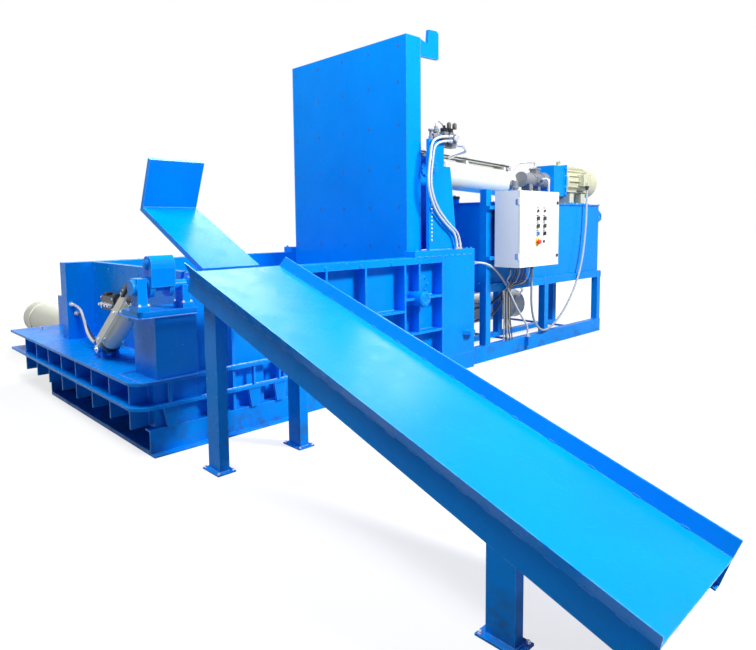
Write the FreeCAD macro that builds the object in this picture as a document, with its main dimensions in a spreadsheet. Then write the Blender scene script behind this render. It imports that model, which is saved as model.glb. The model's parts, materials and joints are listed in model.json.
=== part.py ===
# Hydraulic scrap baling press: press box with hinged lid, two rams, turn-out arm, bale chute, power pack.
# Millimetres. X runs along the main ram, Y across the press box, Z up from the floor.
# The origin is on the floor under the middle of the press box.
import FreeCAD, Part
import math
import os
import re
import Sketcher

Vector = FreeCAD.Vector
doc = FreeCAD.newDocument("recycling_baler")

# ---------------------------------------------------------------- driving dimensions
SIZES = [
    # press box
    ("box_length", 2520, "inside, from the left wall to the end of the lid's hinge bay"),
    ("box_width", 1900, "inside, between front and back wall plates"),
    ("rim_height", 1250, "top of the press box above the floor"),
    ("wall_plate", 30, "thickness of the side wall plates"),
    ("rib_depth", 120, "depth of the ribs outside the wall plates"),
    ("rib_plate", 20, "thickness of one rib"),
    ("rim_bar", 65, "height of the bar along the rim"),
    ("end_wall", 60, "thickness of the left end wall"),
    ("floor_top", 70, "height of the chamber floor"),
    ("floor_plate", 40, "thickness of the chamber floor"),
    ("base_height", 180, "height of the channel base"),
    ("base_web", 12, "web and flange thickness of the base channels"),
    ("base_flange", 80, "width of the base channels"),
    ("bay_gap", 190, "from the lid's hinge bay to the ram housing"),
    ("housing_length", 525, "length of the housing behind the main ram"),
    ("thrust_plate", 40, "thickness of the plates that carry the cylinders"),
    ("cap_plate", 60, "thickness of the flange plate on the housing"),
    # bale chamber and turn-out arm
    ("chamber_width", 500, "width of the bale chamber along X"),
    ("pivot_y", -1060, "turn-out shaft axis"),
    ("pivot_height", 1175, "turn-out shaft axis above the floor"),
    ("shaft_bore", 70, "diameter of the turn-out shaft"),
    ("arm_raise", 25, "slope of the raised arm, degrees"),
    ("arm_plate", 45, "thickness of the arm plates"),
    ("arm_gap", 10, "clearance beside the arm"),
    ("arm_lip", 420, "height of the arm's lip"),
    ("crank_reach", 155, "shaft axis to crank pin"),
    ("crank_angle", 97, "direction of the raised crank above +Y, degrees"),
    ("crank_pin", 50, "diameter of the crank pin"),
    ("clevis_y", -60, "base pin of the turn-out cylinder"),
    ("clevis_height", 600, "base pin of the turn-out cylinder above the floor"),
    ("turnout_bore", 160, "outside diameter of the turn-out cylinder"),
    ("turnout_tube", 760, "length of the turn-out cylinder from its base pin"),
    ("turnout_rod", 56, "diameter of the turn-out rod"),
    ("crank_offset", 252, "middle of the crank beyond the left end wall"),
    ("crank_inside", 52, "from the middle of the crank to a cheek"),
    ("crank_cheek", 33, "thickness of a crank cheek"),
    # chamber end block and flanges
    ("end_block", 370, "depth of the end block beyond the chamber"),
    ("flange_reach", 110, "how far the flanges stand out"),
    ("flange_plate", 22, "thickness of a flange"),
    ("flange_run", 1240, "length of the flanges along the front, from the end block"),
    ("upper_flange", 525, "top of the upper flange"),
    ("middle_flange", 350, "top of the middle flange"),
    ("side_housing", 900, "length of the side ram's housing behind the back wall"),
    ("pedestal_back", 750, "back of the pedestal from the middle plane"),
    ("pedestal_top", 1010, "top of the bolster plate"),
    ("bolster", 42, "thickness of the bolster plate"),
    # lid
    ("lid_thickness", 210, "thickness of the lid"),
    ("lid_top", 3440, "top of the open lid"),
    ("lid_gap", 15, "clearance between the lid and each side wall"),
    ("hook_reach", 280, "catch hook behind the lid"),
    ("lid_foot", 60, "lid below its hinge axis"),
    ("hinge_back", 30, "hinge axis before the end of the hinge bay"),
    ("hinge_inset", 150, "hinge axis behind the pressing face"),
    ("hinge_height", 970, "hinge axis above the floor"),
    ("hinge_pin", 120, "diameter of the hinge stubs"),
    ("clevis_rise", 1210, "rod pin above the hinge axis"),
    ("clevis_back", 120, "rod pin behind the hinge axis"),
    # lid cylinders and towers
    ("lid_cylinder_y", 550, "lid cylinders from the middle plane"),
    ("lid_barrel", 330, "outside diameter of a lid cylinder"),
    ("lid_rod", 110, "diameter of a lid cylinder's rod"),
    ("lid_stroke", 1660, "stroke of a lid cylinder"),
    ("lid_pin", 90, "diameter of the rod pin"),
    ("head_reach", 95, "barrel ahead of its trunnions"),
    ("pipe_size", 28, "outside diameter of the pipes on the barrel"),
    ("tie_boss", 120, "diameter of the tie shaft's boss on a tower"),
    ("trunnion_x", 1570, "trunnion axis of the lid cylinders"),
    ("trunnion_height", 2170, "trunnion axis above the floor"),
    ("trunnion_pin", 130, "diameter of a trunnion"),
    ("tower_plate", 40, "thickness of a tower's cheek plates"),
    # rams
    ("ram_gap", 5, "clearance round the rams"),
    ("ram_height", 700, "height of both rams"),
    ("main_ram_length", 600, "length of the main ram"),
    ("main_stroke", 1980, "stroke of the main ram"),
    ("main_barrel", 380, "outside diameter of the main cylinder"),
    ("main_axis", 380, "main cylinder axis above the floor"),
    ("main_rod", 220, "diameter of the main rod"),
    ("side_ram_length", 500, "length of the side ram"),
    ("side_stroke", 1350, "stroke of the side ram"),
    ("side_barrel", 400, "outside diameter of the side cylinder"),
    ("side_rod", 220, "diameter of the side rod"),
    ("barrel_wall", 30, "wall of the big barrels"),
    # chute
    ("chute_slope", 18.5, "slope of the chute, degrees"),
    ("chute_length", 3140, "length of the chute floor"),
    ("chute_width", 690, "width of the chute floor"),
    ("chute_top", 1295, "height of the chute floor's upper end"),
    ("chute_y", -1500, "upper end of the chute floor"),
    ("chute_x", -1210, "middle of the chute"),
    ("chute_plate", 8, "thickness of the chute floor and rails"),
    ("chute_rail", 65, "height of the chute's rails"),
    ("chute_flare", 40, "how far the rails lean outwards"),
    ("chute_channel", 130, "depth of the chute's side channels"),
    ("leg_depth", 140, "width of the upper legs along Y"),
    ("leg_width", 70, "width of the upper legs along X"),
    # power pack
    ("power_length", 3080, "length of the power pack's base"),
    ("power_inset", 50, "power pack's base behind the press box's ribs"),
    ("stand_post", 90, "size of the stand's posts"),
    ("tank_bottom", 880, "underside of the tank"),
    ("tank_height", 930, "height of the tank"),
    ("tank_length", 2660, "length of the tank"),
    ("tank_depth", 900, "depth of the tank"),
    ("tank_plate", 6, "plate of the tank and cabinet"),
    ("motor_size", 440, "diameter of the motor over its fins"),
    ("motor_length", 640, "length of the motor's frame"),
    ("lug_hole", 50, "hole of the tank's lifting lug"),
    ("motor_y", -770, "motor and pump axis"),
    ("motor_height", 2130, "motor and pump axis above the floor"),
    ("rotor_shaft", 60, "diameter of the motor shaft"),
    # control cabinet
    ("cabinet_x", 2350, "left side of the cabinet"),
    ("cabinet_width", 820, "width of the cabinet"),
    ("cabinet_tall", 850, "height of the cabinet"),
    ("cabinet_depth", 330, "depth of the cabinet"),
    ("cabinet_bottom", 1085, "underside of the cabinet above the floor"),
    ("button_size", 34, "diameter of a control button"),
]
sheet = doc.addObject("Spreadsheet::Sheet", "sizes")
for row, (alias, number, meaning) in enumerate(SIZES, start=1):
    sheet.set("A%d" % row, meaning)
    sheet.set("B%d" % row, str(number))
    sheet.setAlias("B%d" % row, alias)
doc.recompute()
WORDS = re.compile(r"\b(" + "|".join(alias for alias, _, _ in SIZES) + r")\b")
SIZE = {alias: float(sheet.get(alias)) for alias, _, _ in SIZES}

# Places that follow from the driving dimensions, in the sheet's own terms.
HALF = "box_width / 2"
LEFT = "-box_length / 2"
OUTER = "(box_width / 2 + wall_plate + rib_depth)"
HOUSING = "(box_length / 2 + bay_gap)"
HOUSING_END = "(box_length / 2 + bay_gap + housing_length)"
POWER_END = "(box_length / 2 + bay_gap + housing_length + power_length)"
BLOCK_LEFT = "(-box_length / 2 - end_block - end_wall)"
POWER_FRONT = "(box_width / 2 + wall_plate + rib_depth - power_inset)"
LID_AXIS = "(box_length / 2 - hinge_back)"
LID_FACE = "(box_length / 2 - hinge_back - hinge_inset)"


def spell(text):
    """Point every size word of an expression at the sheet."""
    return WORDS.sub(r"sizes.\1", text)


def bind(thing, prop, text):
    thing.setExpression(prop, spell(text))


# ---------------------------------------------------------------- ways of making a piece
ALONG_NORMAL = {"XY_Plane": 1, "XZ_Plane": -1, "YZ_Plane": 1}


def new_body(label, x="0", y="0", z="0", turn_about=None, turn="0"):
    """An empty body whose own frame stands at x, y, z, turned by an angle in degrees."""
    body = doc.addObject("PartDesign::Body", label)
    body.Label = label
    if turn_about:
        body.Placement = FreeCAD.Placement(Vector(0, 0, 0), FreeCAD.Rotation(turn_about, 1))
        bind(body, "Placement.Rotation.Angle", turn)
    bind(body, "Placement.Base.x", x)
    bind(body, "Placement.Base.y", y)
    bind(body, "Placement.Base.z", z)
    return body


def sketch(body, role, distance, loops):
    """A sketch on an origin plane: polygons as lists of corners, circles as (u, v, diameter)."""
    drawing = body.newObject("Sketcher::SketchObject", "outline")
    plane = [item for item in body.Origin.OriginFeatures if item.Role == role][0]
    drawing.AttachmentSupport = [(plane, "")]
    drawing.MapMode = "FlatFace"
    bind(drawing, "AttachmentOffset.Base.z", distance)
    for loop in loops:
        if isinstance(loop, tuple):
            across, up, diameter = loop
            index = drawing.addGeometry(Part.Circle(Vector(1, 1, 0), Vector(0, 0, 1), 10), False)
            size_point(drawing, index, 3, 1, 1, across, up)
            rule = drawing.addConstraint(Sketcher.Constraint("Diameter", index, 20))
            bind(drawing, "Constraints[%d]" % rule, diameter)
            continue
        count = len(loop)
        turns = [2 * math.pi * i / count for i in range(count)]
        first = [Vector(100 * math.cos(a), 100 * math.sin(a), 0) for a in turns]
        lines = [
            drawing.addGeometry(Part.LineSegment(first[i], first[(i + 1) % count]), False)
            for i in range(count)
        ]
        for i, line in enumerate(lines):
            drawing.addConstraint(Sketcher.Constraint("Coincident", line, 2, lines[(i + 1) % count], 1))
        for line, start, (across, up) in zip(lines, first, loop):
            size_point(drawing, line, 1, start.x, start.y, across, up)
    return drawing


def size_point(drawing, index, point, start_u, start_v, across, up):
    """Dimension one point of a sketch from the sketch's origin."""
    for kind, start, text in (("DistanceX", start_u, across), ("DistanceY", start_v, up)):
        rule = drawing.addConstraint(Sketcher.Constraint(kind, -1, 1, index, point, start))
        bind(drawing, "Constraints[%d]" % rule, text)


def pad(body, role, low, high, *loops):
    """Add a prism between two distances along the plane's axis."""
    start = low if ALONG_NORMAL[role] > 0 else "-(%s)" % high
    feature = body.newObject("PartDesign::Pad", "pad")
    feature.Profile = sketch(body, role, start, loops)
    bind(feature, "Length", "(%s) - (%s)" % (high, low))
    return feature


def pocket(body, role, low, high, *loops):
    """Cut a prism between two distances along the plane's axis."""
    start = high if ALONG_NORMAL[role] > 0 else "-(%s)" % low
    feature = body.newObject("PartDesign::Pocket", "pocket")
    feature.Profile = sketch(body, role, start, loops)
    bind(feature, "Length", "(%s) - (%s)" % (high, low))
    return feature


def turned(body, role, outline, upright=False):
    """Revolve an outline of (axial, radius) corners, or (radius, height) when upright."""
    feature = body.newObject("PartDesign::Revolution", "turned")
    drawing = sketch(body, role, "0", [outline])
    feature.Profile = drawing
    feature.ReferenceAxis = (drawing, ["V_Axis" if upright else "H_Axis"])
    feature.Angle = 360
    return feature


def rounded(body, radius, chosen):
    """Round the edges of the body's last feature that the test picks."""
    doc.recompute()
    base = body.Tip
    names = ["Edge%d" % i for i, edge in enumerate(base.Shape.Edges, start=1) if chosen(edge)]
    feature = body.newObject("PartDesign::Fillet", "rounded")
    feature.Base = (base, names)
    bind(feature, "Radius", radius)
    return feature


def block(low_u, high_u, low_v, high_v):
    """The corners of a rectangle."""
    return [(low_u, low_v), (high_u, low_v), (high_u, high_v), (low_u, high_v)]


def upright_edge(edge, axis):
    """True for a straight edge along an axis."""
    if edge.Curve.TypeId != "Part::GeomLine":
        return False
    return abs(abs(edge.Curve.Direction.dot(axis)) - 1) < 1e-6


X_AXIS, Y_AXIS, Z_AXIS = Vector(1, 0, 0), Vector(0, 1, 0), Vector(0, 0, 1)


# ---------------------------------------------------------------- base and press box
def make_base_frame():
    """Channel base: two long rails with their open sides inwards, and cross channels."""
    body = new_body("base_frame")
    for side, reach, left, right in (
        ("-1", OUTER, BLOCK_LEFT, HOUSING_END), ("1", OUTER, BLOCK_LEFT, HOUSING_END),
        ("-1", POWER_FRONT, HOUSING_END, POWER_END), ("1", POWER_FRONT, HOUSING_END, POWER_END),
    ):
        outer = "%s * %s" % (side, reach)
        web = "%s * (%s - base_web)" % (side, reach)
        inner = "%s * (%s - base_flange)" % (side, reach)
        section = [
            (outer, "0"), (inner, "0"), (inner, "base_web"), (web, "base_web"),
            (web, "base_height - base_web"), (inner, "base_height - base_web"),
            (inner, "base_height"), (outer, "base_height"),
        ]
        pad(body, "YZ_Plane", left, right, section)
    crossings = (BLOCK_LEFT, "box_length / 2 + bay_gap", HOUSING_END + " - base_flange",
                 HOUSING_END + " + power_length / 2", POWER_END + " - base_flange")
    for index, left in enumerate(crossings):
        reach = OUTER if index < 3 else POWER_FRONT
        half = "(%s - base_web)" % reach
        pad(body, "XZ_Plane", "-" + half, half, block(left, "%s + base_flange" % left, "0", "base_web"))
        pad(body, "XZ_Plane", "-" + half, half,
            block(left, "%s + base_web" % left, "base_web", "floor_top - floor_plate"))
    half = "(%s - base_web)" % OUTER
    pad(body, "XY_Plane", "0", "base_web", block(BLOCK_LEFT, HOUSING, "-" + half, half))
    # foot strip in front of the rail, under the flanges of the chamber
    pad(body, "XY_Plane", "0", "base_web",
        block(BLOCK_LEFT, BLOCK_LEFT + " + flange_run", "-%s - 60" % OUTER, "-" + OUTER))
    # block on the front rail that the power pack's hose ends on
    hose_x = HOUSING_END + " + 1115"
    pad(body, "XY_Plane", "base_height - 110", "base_height",
        block(hose_x + " - 30", hose_x + " + 30", "-%s - 60" % POWER_FRONT, "-" + POWER_FRONT))
    # doorway of the side ram in the back rail
    pocket(body, "XZ_Plane", half + " - base_flange", OUTER,
           block(LEFT, LEFT + " + chamber_width", "floor_top - 10", "base_height"))
    # bearers under the chamber floor, clear of the arm's lip
    for share in ("0.25", "0.5", "0.75"):
        left = "%s + chamber_width + %s * (box_length - chamber_width)" % (LEFT, share)
        pad(body, "XY_Plane", "base_web", "floor_top - floor_plate",
            block(left, left + " + base_web", "-" + HALF, HALF))
    return body


def make_floor_plate():
    """Chamber floor on its bearers, cut away where the arm's lip lies."""
    body = new_body("floor_plate")
    pad(body, "XY_Plane", "floor_top - floor_plate", "floor_top",
        block(LEFT, HOUSING_END + " - thrust_plate", "-" + HALF, HALF))
    lip_end = "-(%s) + arm_lip + 2 * arm_gap" % HALF
    pocket(body, "XY_Plane", "floor_top - floor_plate", "floor_top",
           block(LEFT, LEFT + " + chamber_width", "-" + HALF, lip_end))
    return body


RIB_SHARES = ("-0.41", "-0.226", "-0.044", "0.139", "0.345")
RIB_PLACES = ["%s * box_length" % share for share in RIB_SHARES] + [HOUSING + " - rib_plate"]


def wall_ribs(body, side):
    """Upright ribs, flat ribs and the rim bar on the outside of a side wall."""
    plate_out = "%s * (%s + wall_plate)" % (side, HALF)
    rib_out = "%s * %s" % (side, OUTER)
    low, high = (rib_out, plate_out) if side == "-1" else (plate_out, rib_out)
    for left in RIB_PLACES:
        pad(body, "XZ_Plane", low, high,
            block(left, left + " + rib_plate", "base_height", "rim_height - rim_bar"))
    inner = "%s * %s" % (side, HALF)
    bar_low, bar_high = (rib_out, inner) if side == "-1" else (inner, rib_out)
    return low, high, bar_low, bar_high


def make_front_wall():
    """Front wall: plate with a recess for the arm, ribs, guide boss, gussets and lug."""
    body = new_body("front_wall")
    arm_left, arm_right = LEFT, LEFT + " + chamber_width + arm_gap"
    recess_in = "-(%s + arm_plate + arm_gap)" % HALF
    recess_out = "-(%s + arm_plate + arm_gap + wall_plate)" % HALF
    plate_out = "-(%s + wall_plate)" % HALF
    outline = [
        (LEFT + " - end_wall", "-" + HALF), (arm_left, "-" + HALF), (arm_left, recess_in),
        (arm_right, recess_in), (arm_right, "-" + HALF), (HOUSING, "-" + HALF),
        (HOUSING, plate_out), (arm_right + " + wall_plate", plate_out),
        (arm_right + " + wall_plate", recess_out), (LEFT + " - end_wall", recess_out),
    ]
    pad(body, "XY_Plane", "base_height", "rim_height - rim_bar", outline)
    pad(body, "XY_Plane", "base_web", "base_height", block(arm_right, HOUSING, plate_out, "-" + HALF))
    low, high, bar_low, bar_high = wall_ribs(body, "-1")
    pad(body, "XZ_Plane", bar_low, bar_high,
        block(LEFT + " - end_wall", HOUSING, "rim_height - rim_bar", "rim_height"))
    # flat ribs between the upright ones
    pad(body, "XZ_Plane", low, high,
        block(RIB_PLACES[3], RIB_PLACES[4], "720", "720 + rib_plate"))
    pad(body, "XZ_Plane", low, high,
        block(RIB_PLACES[4], RIB_PLACES[5], "480", "480 + rib_plate"))
    pad(body, "XZ_Plane", low, high,
        block(RIB_PLACES[2], RIB_PLACES[3], "480", "480 + rib_plate"))
    pad(body, "XZ_Plane", low, high,
        block(RIB_PLACES[4], RIB_PLACES[5], "840 - rib_plate / 2", "840 + rib_plate / 2"))
    pad(body, "XZ_Plane", low, high,
        block("0.431 * box_length - rib_plate / 2", "0.431 * box_length + rib_plate / 2",
              "500", "rim_height - rim_bar"))
    # round guide boss where the flat rib and the short upright rib cross
    pad(body, "XZ_Plane", "-%s - 75" % OUTER, plate_out, ("0.431 * box_length", "840", "150"))
    # recess for the arm, opening in the rim for its hinge lugs, and the shaft's bore through the wall
    pocket(body, "XY_Plane", "base_height", "rim_height - rim_bar",
           block(arm_left, arm_right, recess_in, "-" + HALF))
    pocket(body, "XY_Plane", "pivot_height - shaft_bore - 10", "rim_height",
           block(arm_left, arm_right, "-%s" % OUTER, "-" + HALF))
    pocket(body, "YZ_Plane", LEFT + " - end_wall", LEFT + " + chamber_width + arm_gap + 120",
           ("pivot_y", "pivot_height", "shaft_bore + 1"))
    # blind bearing bore for the lid's hinge stub
    pocket(body, "XZ_Plane", plate_out, "-" + HALF, (LID_AXIS, "hinge_height", "hinge_pin + 0.6"))
    pad(body, "XZ_Plane", plate_out + " - 20", plate_out, (LID_AXIS, "hinge_height", "hinge_pin + 60"))
    return body


def make_back_wall():
    """Back wall: plate with the side ram's doorway, ribs and rim bar."""
    body = new_body("back_wall")
    plate_out = "(%s + wall_plate)" % HALF
    pad(body, "XZ_Plane", HALF, plate_out,
        block(LEFT + " - end_wall", HOUSING, "base_height", "rim_height - rim_bar"))
    pad(body, "XY_Plane", "base_web", "base_height", block(LEFT + " + chamber_width", HOUSING, HALF, plate_out))
    low, high, bar_low, bar_high = wall_ribs(body, "1")
    pad(body, "XZ_Plane", bar_low, bar_high,
        block(BLOCK_LEFT + " + 130", HOUSING, "rim_height - rim_bar", "rim_height"))
    pad(body, "XZ_Plane", HALF, high,
        block(BLOCK_LEFT + " + 130", LEFT + " - end_wall", "upper_flange", "rim_height - rim_bar"))
    pocket(body, "XZ_Plane", HALF, high,
           block(LEFT, LEFT + " + chamber_width", "base_height", "floor_top + ram_height + 2 * ram_gap"))
    pocket(body, "XZ_Plane", HALF, plate_out, (LID_AXIS, "hinge_height", "hinge_pin + 0.6"))
    pad(body, "XZ_Plane", plate_out, plate_out + " + 20", (LID_AXIS, "hinge_height", "hinge_pin + 60"))
    return body


def make_left_wall():
    """End wall of the bale chamber, between the two side walls."""
    body = new_body("left_wall")
    pad(body, "YZ_Plane", LEFT + " - end_wall", LEFT,
        block("-" + HALF, HALF, "base_web", "rim_height"))
    # notch that the lid's hook drops into
    pocket(body, "YZ_Plane", LEFT + " - end_wall", LEFT,
           block("-%s + lid_gap - 10" % HALF, "-%s + lid_gap + 50" % HALF, "rim_height - 115", "rim_height"))


def make_chamber_end():
    """End block against the main ram's thrust, with two flanges that run on along the front."""
    body = new_body("chamber_end")
    back = "(%s + side_housing)" % OUTER
    wall = LEFT + " - end_wall"
    face = "(%s + flange_reach - 60)" % BLOCK_LEFT
    front = "-%s + 30" % OUTER
    low_roof = "upper_flange - flange_plate"
    pad(body, "XY_Plane", "base_height", low_roof, block(face, wall, front, back))
    pocket(body, "XY_Plane", "base_height", low_roof,
           block(face + " + wall_plate", wall + " - wall_plate", front + " + wall_plate", back + " - wall_plate"))
    flange_left = BLOCK_LEFT + " - flange_reach"
    lip = "-%s - 30" % OUTER
    run_end = BLOCK_LEFT + " + flange_run"
    for top in ("upper_flange", "middle_flange"):
        low = top + " - flange_plate"
        pad(body, "XY_Plane", low, top, block(flange_left, wall, lip, back))
        pad(body, "XY_Plane", low, top, block(wall, run_end, lip, "-" + OUTER))
    # upright stiffeners under each flange, on the end face
    for low, top in (("base_height", "middle_flange - flange_plate"), ("middle_flange", low_roof)):
        for step in range(8):
            near = "-%s + 120 + %d * (%s + %s - 200) / 8" % (OUTER, step, OUTER, back)
            pad(body, "XY_Plane", low, top, block(flange_left + " + 25", face, near, near + " + 16"))
    # gussets that narrow downwards, along the front
    for share in (0.08, 0.36, 0.63, 0.82):
        left = "%s + %.2f * flange_run" % (BLOCK_LEFT, share)
        right = left + " + 110"
        near = lip + " + 10"
        pad(body, "XZ_Plane", near, "-" + OUTER,
            [(left, "middle_flange - flange_plate"), (left + " + 25", "base_height"),
             (right + " - 25", "base_height"), (right, "middle_flange - flange_plate")])
        pad(body, "XZ_Plane", near, "-" + OUTER, block(left + " + 47", left + " + 63", "middle_flange", low_roof))
    rounded(body, "130", lambda edge: upright_edge(edge, Z_AXIS) and edge.Length < 30
            and edge.CenterOfMass.y < 0 and edge.CenterOfMass.x < SIZE["box_length"] * -0.63)
    return body


def make_side_housing():
    """Guide box of the side ram behind the back wall, with its thrust plate."""
    body = new_body("side_ram_housing")
    near, far = OUTER, "(%s + side_housing)" % OUTER
    left, right = LEFT + " - end_wall", LEFT + " + chamber_width + end_wall"
    top = "floor_top + ram_height + 2 * ram_gap + end_wall"
    pad(body, "XZ_Plane", near, far, block(left, right, "0", top),
        block(LEFT, LEFT + " + chamber_width", "floor_top - 10", "floor_top + ram_height + 2 * ram_gap"))
    pad(body, "XZ_Plane", far, far + " + thrust_plate", block(left, right, "0", top),
        (LEFT + " + chamber_width / 2", "main_axis", "side_rod + 10"))
    return body


def make_thrust_housing():
    """Housing behind the main ram: smooth side panels, thrust plate and rim flange plates."""
    body = new_body("thrust_housing")
    side_in = "(%s - 20)" % OUTER
    for side in ("-1", "1"):
        near, far = "%s * %s" % (side, side_in), "%s * %s" % (side, OUTER)
        low, high = (far, near) if side == "-1" else (near, far)
        pad(body, "XZ_Plane", low, high, block(HOUSING, HOUSING_END, "base_height", "rim_height"))
        inner = "%s * %s" % (side, HALF)
        cap_low, cap_high = (far, inner) if side == "-1" else (inner, far)
        pad(body, "XY_Plane", "rim_height", "rim_height + cap_plate",
            block(HOUSING + " - 430", HOUSING_END, cap_low, cap_high))
        pad(body, "XZ_Plane", cap_low, cap_high,
            block(HOUSING, HOUSING + " + 30", "base_height", "rim_height"))
    pad(body, "YZ_Plane", HOUSING_END + " - thrust_plate", HOUSING_END,
        block("-%s" % OUTER, OUTER, "base_height", "rim_height"),
        ("0", "main_axis", "main_rod + 10"))
    # anchor lug on the front panel
    lug_x, lug_z = HOUSING_END + " - 125", "main_axis + 30"
    pad(body, "XY_Plane", lug_z + " - 20", lug_z + " + 20",
        [(lug_x + " - 90", "-" + OUTER), (lug_x + " - 40", "-%s - 80" % OUTER),
         (lug_x + " + 40", "-%s - 80" % OUTER), (lug_x + " + 90", "-" + OUTER)],
        (lug_x, "-%s - 38" % OUTER, "36"))
    return body


# ---------------------------------------------------------------- lid, towers and lid cylinders
def make_lid():
    """Press lid: box slab with rounded foot, hinge stubs, clevis lugs and catch hook."""
    body = new_body("lid")
    edge = "(%s - lid_gap)" % HALF
    back = "(%s + lid_thickness)" % LID_FACE
    foot = "hinge_height - lid_foot"
    outline = [(LID_FACE, foot), (back, foot), (back, "lid_top"), (LID_FACE, "lid_top")]
    pad(body, "XZ_Plane", "-%s" % edge, edge, outline)
    rounded(body, "50", lambda line: upright_edge(line, Y_AXIS) and line.CenterOfMass.z < SIZE["hinge_height"])
    for low, high in (("-%s + 40" % edge, "-lid_cylinder_y - 150"), ("-lid_cylinder_y + 150", "lid_cylinder_y - 150"),
                      ("lid_cylinder_y + 150", "%s - 40" % edge)):
        pocket(body, "XZ_Plane", low, high,
               block(LID_FACE + " + 50", back + " - 30", "hinge_height + 130", "lid_top - 50"))
    pin_x, pin_z = LID_AXIS + " + clevis_back", "hinge_height + clevis_rise"
    for side in ("-1", "1"):
        middle = "%s * lid_cylinder_y" % side
        # recess in the back of the slab that the rod eye swings in
        pocket(body, "XZ_Plane", middle + " - 95", middle + " + 95",
               block(back + " - 150", back, pin_z + " - 330", pin_z + " + 240"))
        for hand in ("-1", "1"):
            near = "%s + %s * 95" % (middle, hand)
            far = "%s + %s * 135" % (middle, hand)
            low, high = (far, near) if hand == "-1" else (near, far)
            lug = [(back, pin_z + " - 200"), (pin_x + " + 30", pin_z + " - 90"), (pin_x + " + 90", pin_z + " - 50"),
                   (pin_x + " + 90", pin_z + " + 50"), (pin_x + " + 30", pin_z + " + 90"), (back, pin_z + " + 200")]
            pad(body, "XZ_Plane", low, high, lug)
            cap_low, cap_high = (far + " - 30", far) if hand == "-1" else (far, far + " + 30")
            pad(body, "XZ_Plane", cap_low, cap_high, (pin_x, pin_z, "130"))
        stub_low, stub_high = "%s - 0.1" % edge, "%s + wall_plate + 5" % edge
        if side == "-1":
            stub_low, stub_high = "-(%s)" % stub_high, "-(%s)" % stub_low
        pad(body, "XZ_Plane", stub_low, stub_high, (LID_AXIS, "hinge_height", "hinge_pin"))
    # catch hook: a bar standing out from the back, with its tip turned up
    tip = back + " + hook_reach"
    hook = [
        (back, "lid_top - 180"), (tip, "lid_top - 170"), (tip, "lid_top + 90"), (tip + " - 30", "lid_top + 112"),
        (tip + " - 150", "lid_top + 105"), (tip + " - 165", "lid_top - 40"), (back, "lid_top - 10"),
    ]
    pad(body, "XZ_Plane", "-%s" % edge, "-%s + 40" % edge, hook)
    return body


def make_tower(label, side):
    """One lid tower: outer brace plate, two bearing cheeks and a cross plate on the housing."""
    body = new_body(label)
    foot = "rim_height + cap_plate"
    back = "(%s + lid_thickness)" % LID_FACE
    brace = [
        (back + " + 10", foot), (back + " + 460", foot), (back + " + 345", "trunnion_height"),
        (back + " + 240", "trunnion_height"), (back + " + 240", "trunnion_height + 265"),
        (back + " + 10", "trunnion_height + 265"),
    ]
    sign = float(side)
    outer, inner = "(%s + 90)" % HALF, "(%s + 50)" % HALF
    low, high = ("-" + outer, "-" + inner) if sign < 0 else (inner, outer)
    pad(body, "XZ_Plane", low, high, brace)
    boss_low, boss_high = (low + " - 25", low) if sign < 0 else (high, high + " + 25")
    pad(body, "XZ_Plane", boss_low, boss_high, (back + " + 60", "trunnion_height - 10", "tie_boss"))
    cheek = [
        ("trunnion_x - 180", foot), ("trunnion_x + 190", foot),
        ("trunnion_x + 110", "trunnion_height + 130"), ("trunnion_x - 110", "trunnion_height + 130"),
    ]
    for hand in ("-1", "1"):
        near = "(%s * lid_cylinder_y + %s * (lid_barrel / 2 + 5))" % (side, hand)
        far = "(%s * lid_cylinder_y + %s * (lid_barrel / 2 + 5 + tower_plate))" % (side, hand)
        low, high = (far, near) if hand == "-1" else (near, far)
        pad(body, "XZ_Plane", low, high, cheek, ("trunnion_x", "trunnion_height", "trunnion_pin + 0.6"))
    web_low, web_high = "lid_cylinder_y - lid_barrel / 2 - 5 - tower_plate", inner
    if sign < 0:
        web_low, web_high = "-(%s)" % web_high, "-(%s)" % web_low
    pad(body, "XZ_Plane", web_low, web_high, block("trunnion_x + 130", "trunnion_x + 160", foot, foot + " + 300"))
    return body


LID_PIN_X = "(%s + clevis_back)" % LID_AXIS
LID_PIN_Z = "(hinge_height + clevis_rise)"
LID_RUN = "sqrt((trunnion_x - %s) ^ 2 + (trunnion_height - %s) ^ 2)" % (LID_PIN_X, LID_PIN_Z)
LID_TILT = "atan2(%s - trunnion_height; trunnion_x - %s) / 1 deg" % (LID_PIN_Z, LID_PIN_X)


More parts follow.
